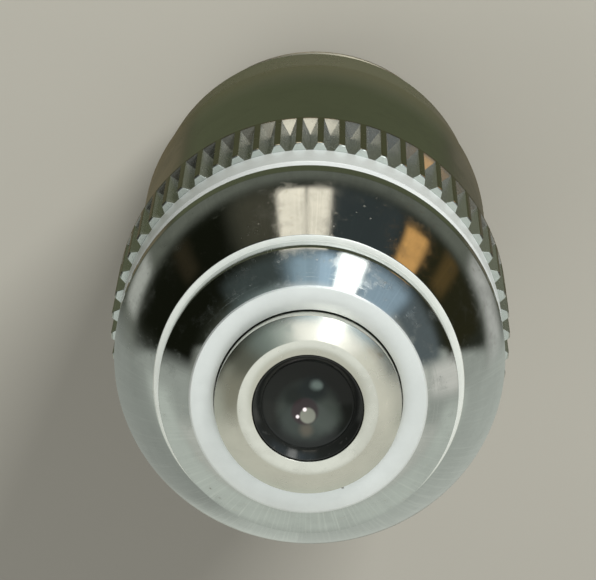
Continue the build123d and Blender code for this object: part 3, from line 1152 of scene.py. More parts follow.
@dataclass
class Finishes:
    """The finishes of the objective, each made once.

    Attributes:
        made: Materials that are built already, by name.
    """

    made: dict[str, bpy.types.Material] = field(default_factory=dict)

    CHROME: ClassVar[Metal] = Metal(
        "polished_chrome", CHROME_TONE, 0.045, smudge=0.05, grain_pitch=0.035,
        grain_depth=0.12, scratches=0.5, dust=0.12)
    CAP: ClassVar[CapMetal] = CapMetal(
        "cap_chrome", CHROME_TONE, 0.05, smudge=0.09, grain_pitch=0.03,
        grain_depth=0.18, scratches=0.9, dust=0.35, marks=(
            Mark((-3.45, -10.65, 36.0), 0.16, DUST_SPOT, 0.5),
            Mark((-2.75, -10.39, 36.97), 0.20, DUST_SPOT, 0.5),
            Mark((-3.13, -9.87, 37.7), 0.13, DUST_SPOT, 0.5),
            Mark((-2.29, -10.16, 37.59), 0.12, DUST_SPOT, 0.5),
            Mark((-2.3, 5.29, 42.5), 0.16, (0.06, 0.05, 0.04), 0.5),
            Mark((5.48, 6.13, 41.4), 0.22, RIM_SPOT, 0.5, 0.7),
            Mark((4.9, 6.7, 41.3), 0.16, RIM_SPOT, 0.5, 0.7),
        ))
    SLEEVE: ClassVar[SleeveMetal] = SleeveMetal(
        "sleeve_chrome", (0.60, 0.61, 0.57), 0.13, smudge=0.08, grain_pitch=0.04,
        grain_depth=0.2, scratches=0.4, dust=0.2)
    GRIP: ClassVar[KnurlMetal] = KnurlMetal(
        "grip_chrome", (0.64, 0.66, 0.63), 0.19, smudge=0.08, grain=Grain.DRAWN,
        grain_pitch=0.03, grain_depth=0.2, scratches=0.3, dust=0.3)
    SATIN: ClassVar[Metal] = Metal(
        "satin_chrome", (0.80, 0.84, 0.84), 0.42, smudge=0.08, metallic=0.55,
        grain_pitch=0.022, grain_depth=0.5, anisotropy=0.3, scratches=0.2, dust=0.1)
    NICKEL: ClassVar[CellMetal] = CellMetal(
        "nose_nickel", (0.74, 0.73, 0.66), 0.20, smudge=0.10, grain_pitch=0.022,
        grain_depth=0.35, anisotropy=0.35, scratches=0.5, dust=0.2, marks=(
            Mark((-3.7, -3.4, 43.5), 0.95, (0.62, 0.56, 0.46), 0.26, 0.35),
            Mark((-4.1, -3.3, 43.45), 0.45, (0.46, 0.36, 0.24), 0.30, 0.45),
            Mark((1.3, -4.6, 43.6), 0.60, (0.55, 0.58, 0.54), 0.36, 0.5),
        ))
    MOUNT: ClassVar[ThreadMetal] = ThreadMetal(
        "mount_nickel", (0.66, 0.61, 0.49), 0.20, smudge=0.12, metallic=0.92, grain_pitch=0.03,
        grain_depth=0.3, anisotropy=0.2, scratches=0.3, dust=0.2)
    BRASS: ClassVar[Metal] = Metal(
        "turned_brass", (0.72, 0.52, 0.26), 0.24, smudge=0.12, grain_pitch=0.04,
        grain_depth=0.4, anisotropy=0.3, scratches=0.3, dust=0.2)
    STEEL: ClassVar[Metal] = Metal(
        "spring_steel", (0.50, 0.51, 0.52), 0.22, smudge=0.10, grain=Grain.DRAWN,
        grain_pitch=0.03, grain_depth=0.3, scratches=0.3, dust=0.1)
    BLACK: ClassVar[Metal] = Metal(
        "black_anodised", (0.010, 0.011, 0.010), 0.12, smudge=0.08, metallic=0.0,
        grain_pitch=0.03, grain_depth=0.3, scratches=0.0, dust=0.02)
    FRONT_GLASS: ClassVar[FrontGlass] = FrontGlass()
    GLASS: ClassVar[ClearGlass] = ClearGlass()

    def get(self, finish: Finish) -> bpy.types.Material:
        """The material of a finish, built on its first use.

        Args:
            finish: The finish.

        Returns:
            Its material.
        """
        if finish.name not in self.made:
            self.made[finish.name] = finish.material()
        return self.made[finish.name]


def add_object(name: str, data: bpy.types.ID) -> bpy.types.Object:
    """Put new data into the scene as an object.

    Args:
        name: Name of the object.
        data: Its mesh, lamp or camera.

    Returns:
        The object.
    """
    made = bpy.data.objects.new(name, data)
    bpy.context.scene.collection.objects.link(made)
    return made


def add_mesh(
    name: str, mesh: bmesh.types.BMesh, material: bpy.types.Material
) -> bpy.types.Object:
    """Put a finished mesh into the scene.

    Args:
        name: Name of the object.
        mesh: The mesh, which is freed.
        material: Its material.

    Returns:
        The object.
    """
    data = bpy.data.meshes.new(name)
    mesh.to_mesh(data)
    mesh.free()
    data.materials.append(material)
    return add_object(name, data)


class Outline:
    """A section in the XZ plane, drawn point by point and then turned."""

    def __init__(self, radius: float, height: float) -> None:
        """Start the section.

        Args:
            radius: Distance of the first point from the axis, in millimetres.
            height: Its height.
        """
        self.mesh = bmesh.new()
        self.tip = self.mesh.verts.new(Vector((radius, 0.0, height)) * MM)
        self.first = self.tip

    def line(self, *points: tuple[float, float]) -> "Outline":
        """Draw straight to each point in turn.

        Args:
            points: Radius and height of each, in millimetres.

        Returns:
            The outline.
        """
        for radius, height in points:
            vert = self.mesh.verts.new(Vector((radius, 0.0, height)) * MM)
            self.mesh.edges.new((self.tip, vert))
            self.tip = vert
        return self

    def arc(self, radius: float, height: float, bulge: float, steps: int) -> "Outline":
        """Draw an arc to a point.

        Args:
            radius: Distance of its end from the axis, in millimetres.
            height: Height of its end.
            bulge: How far it bows out to the right of its way, in millimetres.
            steps: Number of pieces.

        Returns:
            The outline.
        """
        start, end = self.tip.co.copy(), Vector((radius, 0.0, height)) * MM
        run = end - start
        rise, hand = abs(bulge) * MM, math.copysign(1.0, bulge)
        curve = (run.length**2 / 4 + rise**2) / (2 * rise)
        side = Vector((run.z, 0.0, -run.x)).normalized() * hand
        centre = (start + end) / 2 - side * (curve - rise)
        angle = 2 * math.asin(min(1.0, run.length / 2 / curve))
        made = bmesh.ops.spin(
            self.mesh, geom=[self.tip], cent=centre, axis=(0.0, hand, 0.0),
            dvec=ORIGIN, angle=-angle, steps=steps, use_duplicate=False)
        self.tip = next(v for v in made["geom_last"] if isinstance(v, bmesh.types.BMVert))
        self.tip.co = end
        return self

    def turn(self) -> bmesh.types.BMesh:
        """Close the section and turn it about the optical axis.

        Returns:
            The turned solid.
        """
        self.mesh.edges.new((self.tip, self.first))
        return self.sweep(TURNS)

    def sweep(self, steps: int) -> bmesh.types.BMesh:
        """Turn the section as it is, with both ends on the optical axis or joined.

        Args:
            steps: Number of flats round the axis.

        Returns:
            The turned surface.
        """
        bmesh.ops.spin(
            self.mesh, geom=self.mesh.verts[:] + self.mesh.edges[:], cent=ORIGIN,
            axis=ALONG_AXIS, dvec=ORIGIN, angle=2 * math.pi, steps=steps, use_merge=True)
        bmesh.ops.remove_doubles(self.mesh, verts=self.mesh.verts, dist=RING_SEAM)
        bmesh.ops.recalc_face_normals(self.mesh, faces=self.mesh.faces)
        return self.mesh


@dataclass
class Piece:
    """A new piece that stands for a solid of the model.

    Each kind of piece adds its own sizes: radii, heights and lengths, in millimetres.

    Attributes:
        node: The solid that it replaces.
        body: The body that it rides on.
        slot: Its material slot in the record.
        finish: Its finish.
        edge: Width of its broken edges, in millimetres, or 0 to leave them.
    """

    node: str
    body: Body
    slot: Slot
    finish: Finish
    edge: float = 0.05

    def build(self) -> bmesh.types.BMesh:
        """Make the piece's mesh. Each kind of piece has its own way."""
        raise NotImplementedError

    def copy_solid(self) -> bmesh.types.BMesh:
        """Copy the solid's mesh and join its loose triangles.

        Returns:
            The copy.
        """
        mesh = bmesh.new()
        mesh.from_mesh(frame["nodes"][self.node].data)
        bmesh.ops.remove_doubles(mesh, verts=mesh.verts, dist=SAME_POINT)
        return mesh

    def soften(self, mesh: bmesh.types.BMesh) -> None:
        """Break the sharp edges.

        Args:
            mesh: The piece's mesh.
        """
        if not self.edge:
            return
        sharp = [
            edge for edge in mesh.edges
            if len(edge.link_faces) == 2 and edge.calc_face_angle(0.0) > CREASE and edge.is_convex
        ]
        bmesh.ops.bevel(
            mesh, geom=sharp, offset=self.edge * MM, offset_type="OFFSET", segments=2,
            profile=0.5, affect="EDGES", clamp_overlap=True, material=-1)

    @staticmethod
    def smooth(mesh: bmesh.types.BMesh) -> None:
        """Shade the faces smooth, with a crease in each sharp inner corner.

        Args:
            mesh: The piece's mesh.
        """
        for face in mesh.faces:
            face.smooth = True
        for edge in mesh.edges:
            if len(edge.link_faces) == 2 and not edge.is_convex:
                edge.smooth = edge.calc_face_angle(0.0) < CREASE

    def make(self, finishes: Finishes) -> bpy.types.Object:
        """Build the piece, dress it and put it on its body.

        Args:
            finishes: The finishes.

        Returns:
            The finished piece.
        """
        mesh = self.build()
        self.soften(mesh)
        self.smooth(mesh)
        piece = add_mesh(f"{self.node}_looks", mesh, finishes.get(self.finish))
        weighted = piece.modifiers.new("weighted_normals", "WEIGHTED_NORMAL")
        weighted.mode = "FACE_AREA"
        weighted.weight = 100
        weighted.keep_sharp = True
        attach(piece, self.body.value)
        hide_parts(self.node)
        LOG.info("made %s with %d faces", piece.name, len(piece.data.polygons))
        return piece


@dataclass
class MountRing(Piece):
    """Mount ring with its standard 55 degree thread, relief, flange and bores.

    The thread is left as cut, and the flange has its own chamfers, so no edge is broken afterwards.

    Attributes:
        thread_turn_steps: Flats in one turn of the thread.
        root_low: Width of the root under the thread form.
        root_high: Width of the root above it.
        crest_low: Start of the flat crest, from the lower end of the form.
        crest_high: End of the flat crest.
        crest_round: How far in the crest is rounded.
        crest_ease: How wide that rounding is on each side.
        chamfer: Chamfer at the rear end of the thread.
        relief_overlap: How far the ring reaches down into the thread, past the relief.
        relief_slant: How far it slants in there.
        core_wall: Wall of the tube inside the thread.
        core_overlap: How deep the thread is set in that wall.
    """

    node: str = "mount_ring"
    body: Body = Body.BARREL
    slot: Slot = Slot.WARM_NICKEL
    finish: Metal = Finishes.MOUNT
    edge: float = 0.0
    thread_radius: float = 10.16
    thread_length: float = 4.5
    thread_pitch: float = 0.7056
    thread_depth: float = 0.44
    thread_turn_steps: int = 120
    root_low: float = 0.06
    root_high: float = 0.05
    crest_low: float = 0.33
    crest_high: float = 0.38
    crest_round: float = 0.05
    crest_ease: float = 0.04
    chamfer: float = 0.5
    relief_radius: float = 9.66
    relief_length: float = 0.75
    relief_overlap: float = 0.01
    relief_slant: float = 0.02
    core_wall: float = 0.3
    core_overlap: float = 0.15
    flange_radius: float = 10.9
    flange_length: float = 5.7
    flange_chamfer: float = 0.25
    rim_chamfer: float = 0.1
    light_radius: float = 7.6
    baffle_radius: float = 8.6
    baffle_depth: float = 1.2
    spigot_radius: float = 9.65
    spigot_length: float = 4.0

    def build(self) -> bmesh.types.BMesh:
        """Turn the ring and put the thread on it.

        Returns:
            The ring's mesh.
        """
        low, relief = -self.thread_length, -self.relief_length
        under = relief - self.relief_overlap
        rim, core = self.flange_length, self.baffle_radius + self.core_wall
        seat, shelf = rim - self.spigot_length, low + self.baffle_depth
        mesh = Outline(self.relief_radius - self.relief_slant, under).line(
            (self.relief_radius, relief), (self.relief_radius, 0.0),
            (self.flange_radius - self.flange_chamfer, 0.0),
            (self.flange_radius, self.flange_chamfer),
            (self.flange_radius, rim - self.rim_chamfer),
            (self.flange_radius - self.rim_chamfer, rim),
            (self.spigot_radius, rim), (self.spigot_radius, seat),
            (self.light_radius, seat), (self.light_radius, shelf),
            (self.baffle_radius, shelf), (self.baffle_radius, low),
            (core, low), (core, under),
        ).turn()
        thread = self._thread()
        data = bpy.data.meshes.new("thread_form")
        thread.to_mesh(data)
        thread.free()
        mesh.from_mesh(data)
        bpy.data.meshes.remove(data)
        return mesh

    def _thread(self) -> bmesh.types.BMesh:
        """Wind the thread form up the ring, trim it to length and close it on its core.

        Returns:
            A closed sleeve with the thread outside.
        """
        low, high = -self.thread_length, -self.relief_length
        mesh = self._wind(low - self.thread_pitch, high + self.thread_pitch)
        for height, inner in ((low, True), (high, False)):
            bmesh.ops.bisect_plane(
                mesh, geom=mesh.verts[:] + mesh.edges[:] + mesh.faces[:], dist=1e-9,
                plane_co=(0.0, 0.0, height * MM), plane_no=ALONG_AXIS,
                clear_inner=inner, clear_outer=not inner)
        for vert in mesh.verts:
            end = vert.co.z / MM - low
            most = (self.thread_radius - self.chamfer + min(end, self.chamfer)) * MM
            if math.hypot(vert.co.x, vert.co.y) > most:
                self._move_to_radius(vert, most)
        rims = [edge for edge in mesh.edges if edge.is_boundary]
        made = bmesh.ops.extrude_edge_only(mesh, edges=rims)["geom"]
        for vert in (item for item in made if isinstance(item, bmesh.types.BMVert)):
            self._move_to_radius(vert, (self.baffle_radius + self.core_overlap) * MM)
        loops = [item for item in made if isinstance(item, bmesh.types.BMEdge)]
        bmesh.ops.bridge_loops(mesh, edges=loops)
        bmesh.ops.recalc_face_normals(mesh, faces=mesh.faces)
        return mesh

    def _wind(self, low: float, high: float) -> bmesh.types.BMesh:
        """Wind the thread form round the axis.

        Args:
            low: Height at which it starts, in millimetres.
            high: Height that it has to pass.

        Returns:
            The open thread surface.
        """
        crest, root = self.thread_radius, self.thread_radius - self.thread_depth
        form = Outline(root, low).line(
            (root, low + self.root_low),
            (crest - self.crest_round, low + self.crest_low - self.crest_ease),
            (crest, low + self.crest_low), (crest, low + self.crest_high),
            (crest - self.crest_round, low + self.crest_high + self.crest_ease),
            (root, low + self.thread_pitch - self.root_high), (root, low + self.thread_pitch),
        )
        mesh = form.mesh
        turns = math.ceil((high - low) / self.thread_pitch)
        rise = self.thread_pitch * MM / self.thread_turn_steps
        bmesh.ops.spin(
            mesh, geom=mesh.verts[:] + mesh.edges[:], cent=ORIGIN, axis=ALONG_AXIS,
            dvec=(0.0, 0.0, rise), angle=2 * math.pi * turns,
            steps=self.thread_turn_steps * turns, use_merge=False)
        bmesh.ops.remove_doubles(mesh, verts=mesh.verts, dist=THREAD_SEAM)
        return mesh

    @staticmethod
    def _move_to_radius(vert: bmesh.types.BMVert, radius: float) -> None:
        """Move a point to a radius at its own height.

        Args:
            vert: The point.
            radius: The radius, in metres.
        """
        share = radius / math.hypot(vert.co.x, vert.co.y)
        vert.co.x *= share
        vert.co.y *= share


@dataclass
class BarrelSleeve(Piece):
    """Smooth polished sleeve of the barrel."""

    node: str = "barrel_sleeve"
    body: Body = Body.BARREL
    slot: Slot = Slot.POLISHED_CHROME
    finish: Metal = Finishes.SLEEVE
    edge: float = 0.04
    radius: float = 11.45
    bore_radius: float = 10.25
    low: float = 5.7
    high: float = 23.25
    chamfer: float = 0.1

    def build(self) -> bmesh.types.BMesh:
        """Turn the sleeve.

        Returns:
            The sleeve's mesh.
        """
        rim = self.radius - self.chamfer
        return Outline(self.bore_radius, self.low).line(
            (rim, self.low), (self.radius, self.low + self.chamfer),
            (self.radius, self.high - self.chamfer), (rim, self.high),
            (self.bore_radius, self.high),
        ).turn()


@dataclass
class BandRing(Piece):
    """Plain satin band in front of the grip."""

    node: str = "band_ring"
    body: Body = Body.BARREL
    slot: Slot = Slot.SATIN_CHROME
    finish: Metal = Finishes.SATIN
    edge: float = 0.04
    radius: float = 11.8
    bore_radius: float = 10.25
    low: float = 29.65
    high: float = 32.4
    chamfer: float = 0.1

    def build(self) -> bmesh.types.BMesh:
        """Turn the band.

        Returns:
            The band's mesh.
        """
        return Outline(self.bore_radius, self.low).line(
            (self.radius, self.low), (self.radius, self.high - self.chamfer),
            (self.radius - self.chamfer, self.high), (self.bore_radius, self.high),
        ).turn()


@dataclass
class NoseCap(Piece):
    """Polished cap: land, domed cone, shoulder, neck, inner cone and flat front ring."""

    node: str = "nose_cap"
    body: Body = Body.BARREL
    slot: Slot = Slot.POLISHED_CHROME
    finish: Metal = Finishes.CAP
    edge: float = 0.035
    radius: float = 11.8
    low: float = 32.4
    chamfer: float = 0.1
    land_high: float = 34.55
    cone_bulge: float = 0.22
    cone_steps: int = 48
    shoulder_high: float = 39.5
    shoulder_radius: float = 9.18
    neck_radius: float = 8.83
    neck_high: float = 40.9
    front_radius: float = 6.9
    front_high: float = 42.5
    guide_radius: float = 5.53
    guide_low: float = 38.0
    cavity_radius: float = 7.6
    socket_radius: float = 10.25
    socket_high: float = 35.2

    def build(self) -> bmesh.types.BMesh:
        """Turn the cap.

        Returns:
            The cap's mesh.
        """
        return Outline(self.socket_radius, self.low).line(
            (self.radius - self.chamfer, self.low), (self.radius, self.low + self.chamfer),
            (self.radius, self.land_high),
        ).arc(
            self.shoulder_radius, self.shoulder_high, self.cone_bulge, self.cone_steps,
        ).line(
            (self.neck_radius, self.shoulder_high), (self.neck_radius, self.neck_high),
            (self.front_radius, self.front_high), (self.guide_radius, self.front_high),
            (self.guide_radius, self.guide_low), (self.cavity_radius, self.guide_low),
            (self.cavity_radius, self.socket_high), (self.socket_radius, self.socket_high),
        ).turn()


@dataclass
class NoseCell(Piece):
    """Nickel nose that slides in the cap and carries the lenses."""

    node: str = "nose_cell"
    body: Body = Body.OPTICS
    slot: Slot = Slot.WARM_NICKEL
    finish: Metal = Finishes.NICKEL
    edge: float = 0.04
    opening_radius: float = 3.26
    flat_radius: float = 4.12
    radius: float = 5.47
    top: float = 44.04
    cone_low: float = 43.32
    stop: float = 38.0
    collar_radius: float = 7.0
    collar_low: float = 34.0
    spigot_radius: float = 5.95
    spigot_low: float = 32.5
    throat_radius: float = 4.9
    throat_high: float = 36.9
    chamber_radius: float = 4.6
    lip_low: float = 42.44

    def build(self) -> bmesh.types.BMesh:
        """Turn the cell.

        Returns:
            The cell's mesh.
        """
        return Outline(self.opening_radius, self.top).line(
            (self.flat_radius, self.top), (self.radius, self.cone_low),
            (self.radius, self.stop), (self.collar_radius, self.stop),
            (self.collar_radius, self.collar_low), (self.spigot_radius, self.collar_low),
            (self.spigot_radius, self.spigot_low), (self.throat_radius, self.spigot_low),
            (self.throat_radius, self.throat_high), (self.chamber_radius, self.throat_high),
            (self.chamber_radius, self.lip_low), (self.opening_radius, self.lip_low),
        ).turn()


@dataclass
class FrontMount(Piece):
    """Black mount of the front lens, with its bevelled mouth and rounded lip.

    Attributes:
        mouth_flat: Width of the flat rim outside the bevel.
        lip_round: Size of the rounding between the bevel and the aperture.
        lip_reach: How far that rounding goes out and up, as a share of its size.
        lip_bulge: How far it is rounded, as a share of its size.
        lip_steps: Number of pieces in it.
    """

    node: str = "front_lens_mount"
    body: Body = Body.OPTICS
    slot: Slot = Slot.BLACK_ANODISED
    finish: Metal = Finishes.BLACK
    edge: float = 0.03
    mouth_radius: float = 3.21
    mouth_high: float = 43.99
    mouth_flat: float = 0.05
    aperture_radius: float = 2.66
    aperture_high: float = 43.44
    lip_round: float = 0.14
    lip_reach: float = 0.7
    lip_bulge: float = -0.17
    lip_steps: int = 8
    glass_high: float = 43.19
    bore_radius: float = 2.98
    lip_low: float = 42.44
    flange_radius: float = 4.55
    flange_low: float = 41.14

    def build(self) -> bmesh.types.BMesh:
        """Turn the mount.

        Returns:
            The mount's mesh.
        """
        reach = self.lip_reach * self.lip_round
        return Outline(self.mouth_radius - self.mouth_flat, self.mouth_high).line(
            (self.mouth_radius, self.mouth_high), (self.mouth_radius, self.lip_low),
            (self.flange_radius, self.lip_low), (self.flange_radius, self.flange_low),
            (self.bore_radius, self.flange_low), (self.bore_radius, self.glass_high),
            (self.aperture_radius, self.glass_high),
            (self.aperture_radius, self.aperture_high - self.lip_round),
        ).arc(
            self.aperture_radius + reach, self.aperture_high + reach,
            self.lip_bulge * self.lip_round, self.lip_steps,
        ).turn()


@dataclass
class FrontLens(Piece):
    """Front lens with a dished face.

    Attributes:
        reach: Radius at which the dish and the rear face end.
        dish: Depth of the dish.
        dish_flat: Radius of the nearly flat middle of the dish.
        dish_rise: How far that middle rises towards its edge.
        dish_bulge: How far the rest of the dish is rounded.
        crown: Height of the rounded rear face.
        crown_bulge: How far that face is rounded.
        steps: Number of pieces in each rounding.
    """

    node: str = "front_lens"
    body: Body = Body.OPTICS
    slot: Slot = Slot.OPTICAL_GLASS
    finish: FrontGlass = Finishes.FRONT_GLASS
    edge: float = 0.0
    radius: float = 2.96
    reach: float = 2.66
    high: float = 43.19
    low: float = 42.34
    dish: float = 0.57
    dish_flat: float = 0.35
    dish_rise: float = 0.01
    dish_bulge: float = 0.05
    crown: float = 1.28
    crown_bulge: float = 0.3
    steps: int = 24

    def build(self) -> bmesh.types.BMesh:
        """Turn the lens from its section, whose two ends lie on the optical axis.

        Returns:
            The lens's mesh.
        """
        floor = self.high - self.dish
        return Outline(0.0, floor).line(
            (self.dish_flat, floor + self.dish_rise),
        ).arc(self.reach, self.high, self.dish_bulge, self.steps).line(
            (self.radius, self.high), (self.radius, self.low), (self.reach, self.low),
        ).arc(0.0, self.low - self.crown, self.crown_bulge, self.steps).sweep(LENS_TURNS)


@dataclass
class Grip(Piece):
    """Knurled grip ring, with every cut edge just broken.

    Attributes:
        flat_angle: Angle below which neighbouring faces are one, in degrees.
    """

    node: str = "knurled_ring"
    body: Body = Body.BARREL
    slot: Slot = Slot.POLISHED_CHROME
    finish: Metal = Finishes.GRIP
    edge: float = 0.03
    flat_angle: float = 0.5

    def build(self) -> bmesh.types.BMesh:
        """Copy the ring and merge its faces.

        Returns:
            The ring's mesh.
        """
        mesh = self.copy_solid()
        bmesh.ops.dissolve_limit(
            mesh, angle_limit=math.radians(self.flat_angle), verts=mesh.verts, edges=mesh.edges)
        return mesh


@dataclass
class CoilSpring(Piece):
    """Return spring, copied as it is; the real spring shortens towards its rear seat as the nose
    goes in.

    Attributes:
        joint: The sliding joint that presses it; not used.
    """

    node: str = "coil_spring"
    body: Body = Body.BARREL
    slot: Slot = Slot.STEEL
    finish: Metal = Finishes.STEEL
    edge: float = 0.0
    joint: str = "nose_retract"

    def build(self) -> bmesh.types.BMesh:
        """Copy the spring."""
        return self.copy_solid()

    def make(self, finishes: Finishes) -> bpy.types.Object:
        """Build the spring and give it a mesh of its own.

        Args:
            finishes: The finishes.

        Returns:
            The finished spring.
        """
        spring = super().make(finishes)
        low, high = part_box(self.node)
        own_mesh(spring)
        return spring


@dataclass
class InnerPieces:
    """Solids whose own shape stays, each with a finish for its slot.

    Attributes:
        finishes: The finishes.
    """

    finishes: Finishes

    BY_SLOT: ClassVar[dict[Slot, Finish]] = {
        Slot.POLISHED_CHROME: Finishes.CHROME,
        Slot.SATIN_CHROME: Finishes.SATIN,
        Slot.WARM_NICKEL: Finishes.MOUNT,
        Slot.BRASS: Finishes.BRASS,
        Slot.BLACK_ANODISED: Finishes.BLACK,
        Slot.STEEL: Finishes.STEEL,
        Slot.OPTICAL_GLASS: Finishes.GLASS,
    }

    def dress(self) -> None:
        """Give each solid of the model its material."""
        for entry in frame["record"]["subparts"]:
            name, slot = entry["node"], Slot(entry["material_slot"])
            self._assign(frame["nodes"][name], self.finishes.get(self.BY_SLOT[slot]))
            LOG.info("dressed %s as %s", name, slot.value)

    @staticmethod
    def _assign(solid: bpy.types.Object, material: bpy.types.Material) -> None:
        """Put a material on every slot of a solid.

        Args:
            solid: The solid's object.
            material: The material.
        """
        if not solid.material_slots:
            solid.data.materials.append(material)
        for slot in solid.material_slots:
            slot.link = "OBJECT"
            slot.material = material


@dataclass(frozen=True)
class Panel:
    """A soft card of the studio, placed by the way in which a reflection looks.

    Attributes:
        left: Its left side, in degrees round the optical axis from straight up.
        right: Its right side.
        low: Its lower side, in degrees above the plane across the axis.
        high: Its upper side.
        glow: What it shows.
        soft: How far its edges fade, in degrees.
    """

    left: float
    right: float
    low: float
    high: float
    glow: Colour
    soft: float

    def cover(self, graph: Graph, azimuth: Socket, elevation: Socket) -> Socket:
        """Find where it covers the room.

        Args:
            graph: The material's nodes.
            azimuth: Way round the optical axis, in degrees.
            elevation: Way above the plane across it, in degrees.

        Returns:
            A mask from 0 to 1.
        """
        sides = self._between(graph, azimuth, self.left, self.right)
        return graph.math("MULTIPLY", sides, self._between(graph, elevation, self.low, self.high))

    def _between(self, graph: Graph, value: Socket, low: float, high: float) -> Socket:
        """Find where a value lies between two, with soft ends.

        Args:
            graph: The material's nodes.
            value: The value.
            low: Its lower end.
            high: Its upper end.

        Returns:
            A mask from 0 to 1.
        """
        rise = graph.span(value, low - self.soft, low + self.soft, smooth=True)
        fall = graph.span(value, high + self.soft, high - self.soft, smooth=True)
        return graph.math("MULTIPLY", rise, fall)


@dataclass
class Room:
    """The studio as gloss shows it: dark cards above, a pale table below and a window.

    Attributes:
        radius: Its radius, in millimetres.
        height: Height of its middle.
        dark: What shows between the panels, away from the table.
        table: Colour of the table.
        table_way: Direction that points away from the table.
        table_soft: How far the table's edge fades.
        panels: The panels, each over the ones before it.
    """

    radius: float = 600.0
    height: float = 37.0
    dark: Colour = (0.030, 0.033, 0.024)
    table: Colour = (0.415, 0.44, 0.395)
    table_way: Triple = (0.05, -0.94, -0.33)
    table_soft: float = 0.035
    panels: tuple[Panel, ...] = (
        Panel(-96, -38, -29, 24, (0.008, 0.009, 0.005), 6.0),
        Panel(-66, -58, -27, -8, (0.030, 0.025, 0.014), 3.0),
        Panel(-36, -17, -28, 2, (0.075, 0.072, 0.050), 7.0),
        Panel(6, 38, -28, 6, (0.045, 0.056, 0.056), 4.0),
        Panel(52, 90, -28, 4, (0.026, 0.025, 0.012), 3.0),
        Panel(59, 67, -28, -8, (0.105, 0.070, 0.026), 2.5),
        Panel(-108, 108, -44, -31, (0.155, 0.165, 0.135), 4.0),
        Panel(-96, -78, -43, -32, (0.50, 0.51, 0.46), 3.0),
        Panel(72, 108, -44, -33, (0.58, 0.58, 0.54), 4.0),
        Panel(39.5, 50.5, -23, 5, (0.80, 0.44, 0.15), 1.8),
        Panel(-17, -5.0, -26, 13, (1.22, 1.12, 0.92), 0.8),
        Panel(-4.1, 5.8, -26, 13, (1.22, 1.12, 0.92), 0.8),
        Panel(-165, -104, -66, -22, (0.33, 0.35, 0.315), 10.0),
        Panel(104, 200, -66, -22, (0.49, 0.52, 0.47), 10.0),
        Panel(-200, -165, -66, -22, (0.53, 0.565, 0.51), 10.0),
        Panel(108, 200, -20, 4, (0.60, 0.64, 0.575), 5.0),
        Panel(-200, -108, -20, 4, (0.60, 0.64, 0.575), 5.0),
        Panel(-98, 98, -110, -48, (0.092, 0.102, 0.058), 8.0),
        Panel(102, 200, -110, -64, (0.13, 0.12, 0.085), 6.0),
        Panel(-200, -102, -110, -64, (0.14, 0.122, 0.078), 6.0),
        Panel(-52, -17, 15, 42, (0.062, 0.078, 0.074), 5.0),
        Panel(-15, 3, 15, 42, (0.36, 0.49, 0.57), 8.0),
        Panel(1, 14, 15, 42, (0.52, 0.70, 0.84), 5.0),
        Panel(27, 56, 12, 42, (0.36, 0.48, 0.57), 7.0),
        Panel(57, 88, 10, 36, (0.125, 0.15, 0.156), 4.0),
        Panel(118, 200, 4, 64, (0.62, 0.63, 0.57), 4.0),
        Panel(-200, -122, 4, 64, (0.60, 0.61, 0.55), 4.0),
        Panel(90, 122, 22, 64, (0.82, 0.82, 0.74), 4.0),
        Panel(-122, -88, 24, 62, (0.25, 0.25, 0.205), 6.0),
        Panel(-90, -60, 31, 64, (0.10, 0.105, 0.085), 6.0),
        Panel(-62, -38, 33, 66, (0.18, 0.225, 0.215), 6.0),
        Panel(-40, -20, 36, 66, (0.42, 0.50, 0.48), 6.0),
        Panel(-20, 54, 38, 66, (1.20, 1.22, 1.18), 5.0),
        Panel(54, 92, 33, 64, (0.76, 0.77, 0.70), 6.0),
        Panel(90, 104, -6, 18, (0.76, 0.75, 0.69), 4.0),
        Panel(-200, 200, 66, 110, (0.92, 0.96, 0.93), 4.0),
        Panel(13.5, 27, 13, 58, (3.6, 3.7, 3.6), 1.8),
    )

    def make(self) -> bpy.types.Object:
        """Build the room round the object.

        Returns:
            The room.
        """
        mesh = bmesh.new()
        bmesh.ops.create_uvsphere(mesh, u_segments=64, v_segments=32, radius=self.radius * MM)
        bmesh.ops.translate(mesh, verts=mesh.verts, vec=(0.0, 0.0, self.height * MM))
        room = add_mesh("studio_room", mesh, self._material())
        self._show_in_reflections_only(room)
        return room

    @staticmethod
    def _show_in_reflections_only(room: bpy.types.Object) -> None:
        """Hide the room from everything but glossy rays.

        Args:
            room: The room.
        """
        room.visible_camera = False
        room.visible_diffuse = False
        room.visible_transmission = False
        room.visible_volume_scatter = False
        room.visible_shadow = False

    def _material(self) -> bpy.types.Material:
        """Build what the room shows.

        Returns:
            The material.
        """
        graph = Graph.of_material("studio_glow")
        from_middle = graph.vector("SUBTRACT", graph.place(), (0.0, 0.0, self.height * MM))
        way = graph.vector("NORMALIZE", from_middle)
        above = graph.vector("DOT_PRODUCT", way, self.table_way)
        table = graph.span(above, self.table_soft, -self.table_soft, smooth=True)
        tone = graph.mix(table, self.dark, self.table)
        azimuth, elevation = self._angles(graph, way)
        for panel in self.panels:
            tone = graph.mix(panel.cover(graph, azimuth, elevation), tone, panel.glow)
        return graph.close(graph.glow("ShaderNodeEmission", tone))

    @staticmethod
    def _angles(graph: Graph, way: Socket) -> tuple[Socket, Socket]:
        """Turn a direction into angles.

        Args:
            graph: The material's nodes.
            way: The direction, of length 1.

        Returns:
            The angle round the optical axis and the angle above the plane across it, in degrees.
        """
        across, up, along = graph.parts(way)
        right, down = (graph.math("MULTIPLY", part, -1.0) for part in (across, up))
        turn, rise = graph.math("ARCTAN2", right, down), graph.math("ARCSINE", along)
        azimuth, elevation = (
            graph.math("MULTIPLY", angle, math.degrees(1.0)) for angle in (turn, rise))
        return azimuth, elevation


